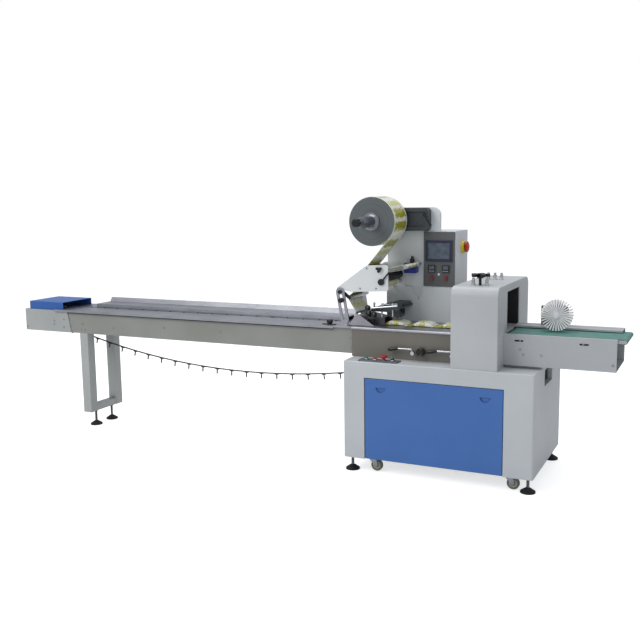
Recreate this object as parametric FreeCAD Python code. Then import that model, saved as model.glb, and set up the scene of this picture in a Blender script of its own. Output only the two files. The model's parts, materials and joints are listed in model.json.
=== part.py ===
import FreeCAD, Part
import math
import os

# Horizontal flow wrapper for biscuits, bars and trays, in millimetres.
# Machine coordinates: X runs with the product from the infeed tail to the discharge nose and is 0 at
# the left side of the cabinet; Y is 0 at the cabinet's front face and grows towards the back; Z is 0
# on the floor. Every piece is moved at the end so that the origin is under the middle of the whole
# machine, on the floor.

V = FreeCAD.Vector

# ---- clearances -------------------------------------------------------------------------------
SEAT_GAP = 0.3            # between pieces that only rest beside each other
RUNNING_FIT = 0.05        # radial play of a shaft in its bore
MOVING_GAP = 5.0          # free space round anything that turns

# ---- cabinet ----------------------------------------------------------------------------------
CABINET_LENGTH = 985.0
CABINET_DEPTH = 670.0
CABINET_BOTTOM = 76.0
CABINET_TOP = 590.0
CABINET_EDGE_RADIUS = 10.0
DOOR_LEFT = 116.0         # left stile
DOOR_RIGHT = 840.0        # where the right stile starts
DOOR_TOP = 508.0
DOOR_THICKNESS = 18.0
DOOR_REVEAL = 3.0         # shadow gap round a door panel
DOOR_PULL_RADIUS = 27.0
DOOR_PULL_DEPTH = 9.0
DOOR_PULL_INSET = 88.0    # from the panel's side edge to the middle of the pull
DOOR_PULL_DROP = 44.0     # from the panel's top edge to the flat top of the pull
NOTCH_FRONT = 236.0       # recess in the right side, under the discharge conveyor
NOTCH_LENGTH = 190.0
NOTCH_DROP = 104.0
NOTCH_DEPTH = 26.0
CHAIN_SLOT_WIDTH = 56.0   # where the lug chain enters the left side
CHAIN_SLOT_DEPTH = 60.0

# ---- feet and castors -------------------------------------------------------------------------
FOOT_RADIUS = 37.0
FOOT_RIM = 8.0
FOOT_CONE_TOP = 24.0
FOOT_STUD_RADIUS = 7.0
FOOT_NUT_RADIUS = 13.0
FOOT_NUT_HEIGHT = 9.0
FOOT_INSET_X = 31.0
FOOT_INSET_Y = 45.0
CASTOR_WHEEL_RADIUS = 31.0
CASTOR_WHEEL_WIDTH = 24.0
CASTOR_FLOOR_GAP = 2.5
CASTOR_TRAIL = 20.0
CASTOR_AXLE_RADIUS = 4.0
CASTOR_FORK_WALL = 3.0
CASTOR_HEAD_RADIUS = 24.0
CASTOR_HEAD_HEIGHT = 6.0
CASTOR_LEFT_X = 144.0
CASTOR_RIGHT_INSET = 125.0
CASTOR_INSET_Y = 60.0

# ---- infeed conveyor --------------------------------------------------------------------------
LANE_Y = 289.0            # middle of the product lane
INFEED_WIDTH = 304.0      # over the side plates
INFEED_LEFT = -2060.0
INFEED_BOTTOM = 603.0
INFEED_TOP = 740.0
SIDE_SHEET = 4.0
SIDE_FLANGE = 26.0
TIE_WIDTH = 30.0
TIE_COUNT = 6
TRACK_WIDTH = 44.0
TRACK_HEIGHT = 14.0
DECK_SHEET = 3.0
DECK_TOP = 747.0
DECK_OVERHANG = 17.0      # the front wing stands past the side plate
DECK_RIM = 14.0
DECK_RIGHT = -112.0
PUSHER_SLOT = 20.0
GUIDE_LEFT = -1868.0
GUIDE_HEIGHT = 23.0
GUIDE_SHEET = 3.0
GUIDE_WING = 134.0
GUIDE_LIP_RISE = 26.0
GUIDE_LIP_RUN = 17.0
GUIDE_SLOT_GAP = 2.0
GUIDE_RAIL_INSET = 30.0
CLAMP_KNOB_RADIUS = 17.0
CLAMP_KNOB_HEIGHT = 24.0

# ---- tail of the infeed -----------------------------------------------------------------------
TAIL_LEFT = -2312.0
TAIL_RIGHT_TOP = -1966.0
TAIL_RIGHT_BOTTOM = -1938.0
TAIL_SHEET = 6.0
TAIL_KNOB_RADIUS = 22.0
TAIL_KNOB_LENGTH = 26.0
TAIL_SCREW_RADIUS = 6.0
TAIL_SCREW_LENGTH = 14.0
TAIL_COVER_LEFT = -2275.0
TAIL_COVER_RIGHT = -2000.0
TAIL_COVER_HEIGHT = 44.0
TAIL_COVER_SHEET = 3.0
TAIL_SPROCKET_X = -2230.0

# ---- lug chain --------------------------------------------------------------------------------
CHAIN_CARRY_Z = 716.0
CHAIN_HEIGHT = 8.0
CHAIN_WIDTH = 12.0
SPROCKET_RADIUS = 32.5
SPROCKET_WIDTH = 8.0
SAG_LOW_X = -760.0
SAG_LOW_Z = 415.0
PUSHER_PITCH = 101.6
PUSHER_LENGTH = 34.0
PUSHER_WIDTH = 9.0
PUSHER_THICKNESS = 4.0
PUSHER_FOOT = 26.0

# ---- infeed stand -----------------------------------------------------------------------------
STAND_LEFT = -1874.0
STAND_TUBE = 60.0
STAND_RAIL = 40.0
STAND_BOTTOM = 96.0
STAND_FOOT_INSET = 76.0

# ---- fin-seal housing and table ---------------------------------------------------------------
SEAL_LEFT = -8.0
SEAL_RIGHT = 571.0
SEAL_FRONT = 130.0
SEAL_BACK = 429.0
SEAL_TOP = 742.0
TABLE_TOP = 748.0
TABLE_LIP = 8.0
FIN_SLOT = 6.0
FIN_SLOT_LEFT = 160.0
FIN_SLOT_RIGHT = 556.0

LEVER_SPACING = 208.0
LEVER_TO_HOUSING = 21.0   # from the right lever's pivot to the end-seal housing
LEVER_PIVOT_Z = 632.0
LEVER_RISE = 20.0
LEVER_REACH = 76.0
LEVER_GRIP_LENGTH = 50.0
LEVER_GRIP_RADIUS = 8.5
LEVER_GRIP_DROP = 9.0
LEVER_ROD_RADIUS = 5.0
LEVER_HUB_RADIUS = 10.0
LEVER_STANDOUT = 26.0     # from the housing front to the middle of the lever rod
LEVER_BORE_DEPTH = 22.0
KNOB_X = 385.0
KNOB_Z = 640.0
KNOB_RADIUS = 22.0
KNOB_LENGTH = 26.0
KNOB_STEM_RADIUS = 7.0
KNOB_STEM_LENGTH = 10.0

# ---- push-button station on the cabinet top ----------------------------------------------------
BUTTON_PLATE_LEFT = 75.0
BUTTON_PLATE_LENGTH = 215.0
BUTTON_PLATE_FRONT = 16.0
BUTTON_PLATE_DEPTH = 64.0
BUTTON_PLATE_HEIGHT = 6.0
BUTTON_RADIUS = 11.0
BUTTON_HEIGHT = 14.0
BUTTON_PITCH = 48.0
MUSHROOM_RADIUS = 19.0
MUSHROOM_HEIGHT = 14.0

# ---- film reel --------------------------------------------------------------------------------
FILM_WIDTH = 188.0
FILM_THICKNESS = 1.2
REEL_X = 83.0
REEL_Z = 1298.0
REEL_RADIUS = 129.0
REEL_CORE_RADIUS = 38.0
REEL_SHAFT_RADIUS = 15.0
REEL_HUB_RADIUS = 29.0
REEL_HUB_LENGTH = 150.0
REEL_FLANGE_RADIUS = 46.0
REEL_FLANGE_THICKNESS = 8.0
REEL_KNOB_RADIUS = 22.0
REEL_KNOB_LENGTH = 34.0
REEL_NECK_LENGTH = 26.0
REEL_BORE_DEPTH = 40.0

# ---- film back plate, column and control box ----------------------------------------------------
PLATE_LEFT = 75.0
PLATE_RIGHT = 374.0
PLATE_FRONT = 446.0
PLATE_THICKNESS = 24.0
PLATE_TOP = 1366.0
PLATE_CORNER = 42.0
BASE_TOP = 940.0
BASE_COVER_CHAMFER_X = 47.0
BASE_COVER_CHAMFER_Z = 75.0
COLUMN_LEFT = 262.0
COLUMN_RIGHT = 470.0
COLUMN_FRONT = 430.0
COLUMN_BACK = 658.0
BOX_LEFT = 285.0
BOX_RIGHT = 465.0
BOX_TOP = 1240.0
BOX_SETBACK = 6.0
PANEL_BORDER = 4.0
PANEL_THICKNESS = 6.0
SCREEN_WIDTH = 148.0
SCREEN_HEIGHT = 114.0
SCREEN_DROP = 44.0
SCREEN_PROUD = 7.0
SCREEN_BORDER = 14.0
CONTROLLER_SIZE = 44.0
CONTROLLER_SPACING = 78.0
CONTROLLER_DROP = 197.0
CONTROLLER_PROUD = 5.0
SWITCH_WIDTH = 21.0
SWITCH_HEIGHT = 28.0
SWITCH_DROP = 246.0
SWITCH_PROUD = 6.0
STOP_Y = 575.0
STOP_Z = 1160.0
STOP_BASE_RADIUS = 34.0
STOP_BASE_HEIGHT = 26.0
STOP_STEM_RADIUS = 14.0
STOP_STEM_HEIGHT = 7.0
STOP_CAP_RADIUS = 30.0
STOP_CAP_HEIGHT = 17.0

# ---- reel bracket on the back plate -------------------------------------------------------------
BRACKET_LEFT = 42.0
BRACKET_RIGHT = 325.0
BRACKET_BOTTOM = 1242.0
BRACKET_DEPTH = 52.0
BRACKET_TOP_GAP = 2.0
BRACKET_CHAMFER = 12.0
POCKET_LENGTH = 107.0
POCKET_MARGIN = 20.0
POCKET_DEPTH = 10.0

# ---- film carriage ------------------------------------------------------------------------------
CARRIAGE_ROOM = 15.0      # from the film's edge to the outside of the front cheek
CARRIAGE_SHEET = 8.0
CARRIAGE_TIP = (-121.0, 941.0)
CARRIAGE_TOP_LEFT = (58.0, 1069.0)
CARRIAGE_TOP_RIGHT = (179.0, 1074.0)
CARRIAGE_BOTTOM_RIGHT = (181.0, 937.0)
CARRIAGE_BOTTOM_LEFT = (-30.0, 926.0)
CARRIAGE_CORNER = 12.0
ROLLER_END_GAP = 8.0
ROLLER_AXLE_RADIUS = 6.0
ENTRY_ROLLER = (63.0, 1050.0, 14.0)
TURN_ROLLER = (268.0, 1064.0, 10.0)
DRAW_ROLLER = (150.0, 1006.0, 21.0)
NIP_ROLLER = (150.0, 969.4, 13.0)
GUIDE_ROLLER = (20.0, 943.0, 12.0)
SPACER_ROD = (112.0, 948.0, 7.0)
LOW_BAR = (-45.0, 893.0, 10.0)
ARM_PIVOT = (-106.0, 941.0)
ARM_THICKNESS = 5.0
ARM_HALF_WIDTH = 9.0
POST_TOP = (-92.0, 925.0)
POST_FOOT = (-66.0, 776.0)
POST_HALF_WIDTH = 24.0
POST_SLOT_HALF_WIDTH = 9.0
POST_SLOT_END = 22.0
POST_SHEET = 8.0
POST_FOOT_SHEET = 4.0
POST_FOOT_DEPTH = 34.0
POST_FOOT_HALF_LENGTH = 28.0
POST_KNOB_RADIUS = 14.0
POST_KNOB_LENGTH = 20.0

# ---- sensor, former and press unit --------------------------------------------------------------
SENSOR_LEFT = 186.0
SENSOR_LENGTH = 68.0
SENSOR_BOTTOM = 1014.0
SENSOR_HEIGHT = 52.0
SENSOR_DEPTH = 46.0
SENSOR_KNOB_RADIUS = 13.0
SENSOR_KNOB_HEIGHT = 38.0
TRANSITION_SHEET = 5.0
TRANSITION_BACK = 470.0
FORMER_LEFT = -36.0
FORMER_RIGHT = 140.0
FORMER_PEAK_X = -8.0
FORMER_PEAK_Z = 812.0
FORMER_TOE_X = 108.0
FORMER_SHEET = 3.0
FORMER_TUNNEL_WIDTH = 110.0
FORMER_TUNNEL_TOP = 789.0
FORMER_FLARE = 34.0
FORMER_RIDGE_RADIUS = 5.0
PRESS_LEFT = 92.0
PRESS_RIGHT = 228.0
PRESS_FRONT = 240.0
PRESS_TOP = 846.0
PRESS_SHEET = 8.0
PRESS_ROLLER_RADIUS = 13.0
PRESS_ROD_RADIUS = 5.0
TUBE_START = 142.0
TUBE_END = 566.0
TUBE_WIDTH = 104.0
TUBE_THIN = 5.0
TUBE_SIDES = 16
TUBE_SQUARENESS = 0.45
PACK_HEIGHT = 34.0
PACK_LENGTH = 88.0
PACK_PITCH = 148.0

# ---- end-seal housing ---------------------------------------------------------------------------
END_LENGTH = 233.0
END_FRONT = 8.0
END_BACK = 662.0
END_TOP = 993.0
END_RADIUS = 46.0
TUNNEL_FRONT = 190.0
TUNNEL_BACK = 450.0
TUNNEL_TOP = 956.0
BRIDGE_SHEET = 6.0
BRIDGE_LENGTH = 52.0
JAW_MEET_Z = 767.0
JAW_SHAFT_RISE = 55.0
JAW_GAP = 5.0
JAW_SHAFT_RADIUS = 14.0
JAW_BLOCK_WIDTH = 34.0
JAW_SIDE_GAP = 14.0
JAW_BORE_DEPTH = 16.0
WHEEL_POST_Y = 112.0
REAR_POST_Y = 400.0
POST_SPACING = 34.0
SPRING_POST_RADIUS = 8.5
SPRING_POST_HEIGHT = 36.0
HANDWHEEL_RADIUS = 48.0
HANDWHEEL_HUB_RADIUS = 15.0
HANDWHEEL_LOBE_RADIUS = 13.0
HANDWHEEL_LOBES = 5
HANDWHEEL_LIFT = 42.0
HANDWHEEL_THICKNESS = 16.0
HANDWHEEL_STEM_RADIUS = 7.0

# ---- discharge conveyor -------------------------------------------------------------------------
OUT_RIGHT = 1331.0
OUT_FRONT = 127.0
OUT_BACK = 441.0
OUT_BOTTOM = 604.0
OUT_TOP = 757.0
OUT_SHEET = 4.0
OUT_FLANGE = 22.0
OUT_REAR_RISE = 13.0
OUT_REAR_FLANGE = 34.0
BELT_FRONT = 158.0
BELT_BACK = 398.0
BELT_THICKNESS = 2.0
BELT_LEFT = 826.0         # tail roller of the belt
BELT_RIGHT = 1362.0       # nose roller of the belt
BELT_ROLLER_RADIUS = 10.0
BED_HEIGHT = 14.0
NOSE_ARM_THICKNESS = 6.0
NOSE_ARM_HEIGHT = 18.0
SLOT_LENGTH = 34.0
SLOT_HEIGHT = 9.0
SLOT_DROP = 30.0
BRUSH_X = 1028.0
BRUSH_Z = 840.0
BRUSH_RADIUS = 78.0
BRUSH_FRONT = 258.0
BRUSH_WIDTH = 44.0
BRUSH_HUB_RADIUS = 16.0
BRUSH_BLADES = 28
BRUSH_BLADE_THICKNESS = 2.2
BRUSH_SHAFT_RADIUS = 6.0
BRUSH_PLATE_LEFT = 926.0
BRUSH_PLATE_RIGHT = 1058.0
BRUSH_PLATE_TOP = 868.0
BRUSH_PLATE_THICKNESS = 8.0
BRUSH_MOTOR_RADIUS = 26.0
BRUSH_MOTOR_LENGTH = 52.0

# ---- sizes that follow from those above -----------------------------------------------------------
INFEED_FRONT = LANE_Y - INFEED_WIDTH / 2
INFEED_BACK = LANE_Y + INFEED_WIDTH / 2
FILM_FRONT = LANE_Y - FILM_WIDTH / 2
FILM_BACK = LANE_Y + FILM_WIDTH / 2
CARRIAGE_FRONT = FILM_FRONT - CARRIAGE_ROOM
REEL_SHAFT_FRONT = (FILM_FRONT - REEL_FLANGE_THICKNESS - REEL_HUB_LENGTH - REEL_NECK_LENGTH
                    - REEL_KNOB_LENGTH)
BRACKET_FRONT = PLATE_FRONT - BRACKET_DEPTH
END_LEFT = SEAL_RIGHT
END_RIGHT = END_LEFT + END_LENGTH
JAW_X = END_LEFT + END_LENGTH / 2
TAIL_END = TAIL_LEFT - TAIL_SCREW_LENGTH - TAIL_KNOB_LENGTH
NOSE_END = BELT_RIGHT + BELT_ROLLER_RADIUS + BELT_THICKNESS
X_MIDDLE = (TAIL_END + NOSE_END) / 2
Y_MIDDLE = (min(0.0, REEL_SHAFT_FRONT) + CABINET_DEPTH) / 2
CASTOR_RIGHT_X = CABINET_LENGTH - CASTOR_RIGHT_INSET
CASTOR_AXLE_Z = CASTOR_WHEEL_RADIUS + CASTOR_FLOOR_GAP


# ---- small shape helpers --------------------------------------------------------------------------
def box(x0, x1, y0, y1, z0, z1):
    return Part.makeBox(x1 - x0, y1 - y0, z1 - z0, V(x0, y0, z0))


def rod_x(y, z, radius, x0, x1):
    return Part.makeCylinder(radius, x1 - x0, V(x0, y, z), V(1, 0, 0))


def rod_y(x, z, radius, y0, y1):
    return Part.makeCylinder(radius, y1 - y0, V(x, y0, z), V(0, 1, 0))


def rod_z(x, y, radius, z0, z1):
    return Part.makeCylinder(radius, z1 - z0, V(x, y, z0), V(0, 0, 1))


def rod_between(start, end, radius):
    run = end.sub(start)
    return Part.makeCylinder(radius, run.Length, start, run)


def at_xz(y):
    """Turns a flat point (a, b) into a point of the plane at this Y."""
    return lambda a, b: V(a, y, b)


def at_yz(x):
    return lambda a, b: V(x, a, b)


def at_xy(z):
    return lambda a, b: V(a, b, z)


def face_of(points, place, radii=None):
    """A flat face with the given corners, each rounded by its own radius."""
    count = len(points)
    radii = radii or [0.0] * count
    starts, ends, arcs = [], [], []
    for i, (a, b) in enumerate(points):
        corner = V(a, b, 0)
        if radii[i] <= 0:
            starts.append(corner)
            ends.append(corner)
            arcs.append(None)
            continue
        back = V(*points[i - 1], 0).sub(corner).normalize()
        ahead = V(*points[(i + 1) % count], 0).sub(corner).normalize()
        half = back.getAngle(ahead) / 2
        reach = radii[i] / math.tan(half)
        middle = back.add(ahead).normalize()
        top = corner.add(middle * (radii[i] / math.sin(half) - radii[i]))
        starts.append(corner.add(back * reach))
        ends.append(corner.add(ahead * reach))
        arcs.append(top)
    edges = []
    for i in range(count):
        if arcs[i] is not None:
            edges.append(Part.Arc(place(starts[i].x, starts[i].y), place(arcs[i].x, arcs[i].y),
                                  place(ends[i].x, ends[i].y)).toShape())
        following = starts[(i + 1) % count]
        if ends[i].distanceToPoint(following) > 1e-6:
            edges.append(Part.LineSegment(place(ends[i].x, ends[i].y),
                                          place(following.x, following.y)).toShape())
    return Part.Face(Part.Wire(edges))


def plate_xz(points, y0, y1, radii=None):
    return face_of(points, at_xz(y0), radii).extrude(V(0, y1 - y0, 0))


def plate_yz(points, x0, x1, radii=None):
    return face_of(points, at_yz(x0), radii).extrude(V(x1 - x0, 0, 0))


def plate_xy(points, z0, z1, radii=None):
    return face_of(points, at_xy(z0), radii).extrude(V(0, 0, z1 - z0))


def capsule_xz(start, end, half_width, y0, y1):
    """A flat bar with round ends, lying in the XZ plane."""
    first, last = V(start[0], y0, start[1]), V(end[0], y0, end[1])
    along = last.sub(first).normalize()
    side = V(along.z, 0, -along.x) * half_width
    tip = along * half_width
    edges = [
        Part.LineSegment(first.add(side), last.add(side)).toShape(),
        Part.Arc(last.add(side), last.add(tip), last.sub(side)).toShape(),
        Part.LineSegment(last.sub(side), first.sub(side)).toShape(),
        Part.Arc(first.sub(side), first.sub(tip), first.add(side)).toShape(),
    ]
    return Part.Face(Part.Wire(edges)).extrude(V(0, y1 - y0, 0))


def turned(profile, base, axis):
    """A solid of revolution from (radius, height) points along an axis through base."""
    points = [V(r, 0, h) for r, h in profile]
    solid = Part.Face(Part.makePolygon(points + points[:1])).revolve(V(0, 0, 0), V(0, 0, 1), 360)
    solid.Placement = FreeCAD.Placement(base, FreeCAD.Rotation(V(0, 0, 1), axis))
    return solid


def joined(shapes):
    return shapes[0].multiFuse(shapes[1:]).removeSplitter() if len(shapes) > 1 else shapes[0]


def without(shape, cutters):
    return shape.cut(cutters if isinstance(cutters, list) else [cutters])


def rounded_edges(shape, radius, wanted):
    """Fillets the edges for which wanted(edge) is true."""
    return shape.makeFillet(radius, [edge for edge in shape.Edges if wanted(edge)])


def runs_along(edge, axis):
    if not isinstance(edge.Curve, Part.Line):
        return False
    return abs(abs(edge.Curve.Direction.dot(axis)) - 1) < 1e-6


# ---- cabinet ----------------------------------------------------------------------------------
def door_recess(front):
    """The shallow seat of a door panel, in the front or in the back of the cabinet."""
    y0, y1 = (-1.0, DOOR_THICKNESS + 2) if front else (CABINET_DEPTH - DOOR_THICKNESS - 2,
                                                       CABINET_DEPTH + 1)
    return box(DOOR_LEFT, DOOR_RIGHT, y0, y1, CABINET_BOTTOM - 1, DOOR_TOP)


def chain_height(x):
    """Height of the sagging return strand: a parabola from the tail sprocket's underside."""
    rise = CHAIN_CARRY_Z - 2 * SPROCKET_RADIUS - SAG_LOW_Z
    reach = SAG_LOW_X - TAIL_SPROCKET_X
    return SAG_LOW_Z + rise * ((x - SAG_LOW_X) / reach) ** 2


def make_cabinet_body():
    body = box(0, CABINET_LENGTH, 0, CABINET_DEPTH, CABINET_BOTTOM, CABINET_TOP)
    body = rounded_edges(body, CABINET_EDGE_RADIUS, lambda e: runs_along(e, V(0, 0, 1)))
    body = rounded_edges(body, CABINET_EDGE_RADIUS / 2,
                         lambda e: e.BoundBox.ZMin > CABINET_TOP - 1)
    slot_middle = chain_height(0)
    half = CHAIN_SLOT_WIDTH / 2
    chain_slot = box(-1, CHAIN_SLOT_DEPTH, LANE_Y - half, LANE_Y + half,
                     slot_middle - PUSHER_LENGTH - 26, slot_middle + half)
    notch = box(CABINET_LENGTH - NOTCH_DEPTH, CABINET_LENGTH + 1, NOTCH_FRONT,
                NOTCH_FRONT + NOTCH_LENGTH, CABINET_TOP - NOTCH_DROP, CABINET_TOP - NOTCH_DROP / 5)
    return without(body, [door_recess(True), door_recess(False), chain_slot, notch])


def make_door_panel(front):
    """A lift-off panel of folded sheet with two half-moon pulls near its top corners."""
    left, right = DOOR_LEFT + DOOR_REVEAL, DOOR_RIGHT - DOOR_REVEAL
    bottom, top = CABINET_BOTTOM + 2, DOOR_TOP - DOOR_REVEAL
    inner = DOOR_THICKNESS + 2
    panel = box(left, right, inner - DOOR_THICKNESS, inner, bottom, top)
    panel = rounded_edges(panel, 4, lambda e: e.BoundBox.YMax < inner - DOOR_THICKNESS + 1)
    pull_z = top - DOOR_PULL_DROP
    for x in (left + DOOR_PULL_INSET, right - DOOR_PULL_INSET):
        bowl = rod_y(x, pull_z, DOOR_PULL_RADIUS, -1, inner - DOOR_THICKNESS + DOOR_PULL_DEPTH)
        bowl = bowl.common(box(x - 50, x + 50, -2, inner, pull_z - 50, pull_z))
        panel = panel.cut(bowl)
    if not front:
        panel = panel.mirror(V(0, CABINET_DEPTH / 2, 0), V(0, 1, 0))
    return panel


# ---- feet and castors -------------------------------------------------------------------------
def levelling_foot(x, y, top):
    """A cone foot on the floor with its stud, up to the underside that it carries."""
    foot = turned([(0, 0), (FOOT_RADIUS, 0), (FOOT_RADIUS, FOOT_RIM),
                   (FOOT_NUT_RADIUS, FOOT_CONE_TOP), (0, FOOT_CONE_TOP)], V(x, y, 0), V(0, 0, 1))
    corners = [(FOOT_NUT_RADIUS * math.cos(math.radians(60 * i)) + x,
                FOOT_NUT_RADIUS * math.sin(math.radians(60 * i)) + y) for i in range(6)]
    nut = plate_xy(corners, top - FOOT_NUT_HEIGHT, top)
    stud = rod_z(x, y, FOOT_STUD_RADIUS, FOOT_CONE_TOP - 2, top)
    return joined([foot, nut, stud])


def make_levelling_feet():
    """Four feet under the cabinet and two under the rail of the infeed stand."""
    feet = [levelling_foot(x, y, CABINET_BOTTOM)
            for x in (FOOT_INSET_X, CABINET_LENGTH - FOOT_INSET_X)
            for y in (FOOT_INSET_Y, CABINET_DEPTH - FOOT_INSET_Y)]
    stand_x = STAND_LEFT + STAND_TUBE / 2
    feet += [levelling_foot(stand_x, y, STAND_BOTTOM)
             for y in (INFEED_FRONT + STAND_FOOT_INSET, INFEED_BACK - STAND_FOOT_INSET)]
    return Part.makeCompound(feet)


def make_castor_fork(x, y):
    """Swivel head, crown and two tapered legs that carry the axle behind the swivel."""
    head_bottom = CABINET_BOTTOM - SEAT_GAP - CASTOR_HEAD_HEIGHT
    crown_bottom = head_bottom - CASTOR_FORK_WALL
    head = rod_z(x, y, CASTOR_HEAD_RADIUS, head_bottom, CABINET_BOTTOM - SEAT_GAP)
    inside = CASTOR_WHEEL_WIDTH / 2 + 2
    outside = inside + CASTOR_FORK_WALL
    axle_x = x + CASTOR_TRAIL
    crown = box(x - CASTOR_HEAD_RADIUS + 4, axle_x, y - outside, y + outside, crown_bottom,
                head_bottom)
    outline = [(x - CASTOR_HEAD_RADIUS + 4, head_bottom), (axle_x, head_bottom),
               (axle_x + 10, CASTOR_AXLE_Z), (axle_x, CASTOR_AXLE_Z - 9),
               (axle_x - 10, CASTOR_AXLE_Z), (x - CASTOR_HEAD_RADIUS + 4, crown_bottom)]
    radii = [0, 0, 6, 6, 6, 0]
    legs = [plate_xz(outline, y + inside, y + outside, radii),
            plate_xz(outline, y - outside, y - inside, radii)]
    axle = rod_y(axle_x, CASTOR_AXLE_Z, CASTOR_AXLE_RADIUS, y - outside - 3, y + outside + 3)
    return joined([head, crown, axle] + legs)


def make_castor_wheel(x, y):
    """A wheel with a rounded tread and a dished hub."""
    half = CASTOR_WHEEL_WIDTH / 2
    r = CASTOR_WHEEL_RADIUS
    bore = CASTOR_AXLE_RADIUS + RUNNING_FIT
    profile = [(bore, -half), (r * 0.36, -half), (r * 0.42, -half + 3), (r * 0.66, -half + 3),
               (r * 0.72, -half), (r * 0.88, -half), (r, -half + 5), (r, half - 5),
               (r * 0.88, half), (r * 0.72, half), (r * 0.66, half - 3), (r * 0.42, half - 3),
               (r * 0.36, half), (bore, half)]
    return turned(profile, V(x + CASTOR_TRAIL, y, CASTOR_AXLE_Z), V(0, 1, 0))


# ---- infeed conveyor --------------------------------------------------------------------------
def side_channel(x0, x1, outer_y, inward, bottom, top, sheet, flange):
    """A folded side plate: a web with a flange turned in at its top and its bottom."""
    edge = outer_y + inward * flange
    inner = outer_y + inward * sheet
    outline = [(outer_y, bottom), (edge, bottom), (edge, bottom + sheet), (inner, bottom + sheet),
               (inner, top - sheet), (edge, top - sheet), (edge, top), (outer_y, top)]
    return plate_yz(outline, x0, x1)


def make_infeed_sides():
    front = side_channel(INFEED_LEFT, SEAL_LEFT, INFEED_FRONT, 1, INFEED_BOTTOM, INFEED_TOP,
                         SIDE_SHEET, SIDE_FLANGE)
    back = side_channel(INFEED_LEFT, SEAL_LEFT, INFEED_BACK, -1, INFEED_BOTTOM, INFEED_TOP,
                        SIDE_SHEET, SIDE_FLANGE)
    return Part.makeCompound([front, back])


def make_chain_track():
    """The rail under the carrying strand, with the cross ties that hold the side plates apart."""
    track_top = CHAIN_CARRY_Z - CHAIN_HEIGHT / 2 - SEAT_GAP
    track_bottom = track_top - TRACK_HEIGHT
    half = TRACK_WIDTH / 2
    pieces = [box(INFEED_LEFT + 20, SEAL_LEFT - SEAT_GAP, LANE_Y - half, LANE_Y + half,
                  track_bottom, track_top)]
    span = SEAL_LEFT - INFEED_LEFT
    for i in range(TIE_COUNT):
        x = INFEED_LEFT + span * (i + 0.5) / TIE_COUNT
        pieces.append(box(x - TIE_WIDTH / 2, x + TIE_WIDTH / 2, INFEED_FRONT + SIDE_SHEET,
                          INFEED_BACK - SIDE_SHEET, track_bottom - TIE_WIDTH, track_bottom))
    return joined(pieces)


def pusher_slot(x0, x1, bottom):
    """The gap that lets the pushers through, as a cutter from this height up past the deck."""
    return box(x0, x1, LANE_Y - PUSHER_SLOT / 2, LANE_Y + PUSHER_SLOT / 2, bottom - 1, DECK_TOP + 1)


def make_infeed_deck():
    """Two stainless wings with the pusher slot between them; the front one has a folded rim."""
    front_edge = INFEED_FRONT - DECK_OVERHANG
    slot_front, slot_back = LANE_Y - PUSHER_SLOT / 2, LANE_Y + PUSHER_SLOT / 2
    under = DECK_TOP - DECK_SHEET
    front = plate_yz([(front_edge, DECK_TOP - DECK_RIM), (front_edge + DECK_SHEET, DECK_TOP - DECK_RIM),
                      (front_edge + DECK_SHEET, under), (slot_front, under),
                      (slot_front, DECK_TOP), (front_edge, DECK_TOP)],
                     INFEED_LEFT, DECK_RIGHT)
    back = box(INFEED_LEFT, DECK_RIGHT, slot_back, INFEED_BACK, under, DECK_TOP)
    packers = [box(INFEED_LEFT, DECK_RIGHT, INFEED_FRONT, INFEED_FRONT + SIDE_FLANGE,
                   INFEED_TOP, under),
               box(INFEED_LEFT, DECK_RIGHT, INFEED_BACK - SIDE_FLANGE, INFEED_BACK,
                   INFEED_TOP, under)]
    return Part.makeCompound([joined([front, packers[0]]), joined([back, packers[1]])])


def guide_edges():
    """Front edge and bend of the product guide's wing."""
    front = LANE_Y + PUSHER_SLOT / 2 + GUIDE_SLOT_GAP
    return front, front + GUIDE_WING


def make_product_guide():
    """The flat stainless wing of the rear guide, with its flared lip."""
    front, bend = guide_edges()
    top = DECK_TOP + GUIDE_HEIGHT
    lip = bend + GUIDE_LIP_RUN
    outline = [(front, top - GUIDE_SHEET), (bend, top - GUIDE_SHEET), (lip + GUIDE_SHEET, top + GUIDE_LIP_RISE),
               (lip, top + GUIDE_LIP_RISE), (bend - 1, top), (front, top)]
    return plate_yz(outline, GUIDE_LEFT, DECK_RIGHT)


def make_guide_rails():
    """The upright wall beside the slot and the rail that carries the wing's rear edge."""
    front, bend = guide_edges()
    top = DECK_TOP + GUIDE_HEIGHT - GUIDE_SHEET
    return Part.makeCompound([box(GUIDE_LEFT, DECK_RIGHT, y, y + GUIDE_SHEET, DECK_TOP, top)
                              for y in (front, bend - GUIDE_RAIL_INSET)])


def make_guide_clamp():
    """The black clamp knob with its strap on the right end of the front wing."""
    x, y = DECK_RIGHT - 38, INFEED_FRONT + 26
    strap = box(x - 40, x + 34, y - 11, y + 11, DECK_TOP, DECK_TOP + 4)
    knob = turned([(0, 0), (CLAMP_KNOB_RADIUS * 0.6, 0), (CLAMP_KNOB_RADIUS, 8),
                   (CLAMP_KNOB_RADIUS, CLAMP_KNOB_HEIGHT - 4), (CLAMP_KNOB_RADIUS - 4, CLAMP_KNOB_HEIGHT),
                   (0, CLAMP_KNOB_HEIGHT)], V(x, y, DECK_TOP + 4), V(0, 0, 1))
    return joined([strap, knob])


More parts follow.
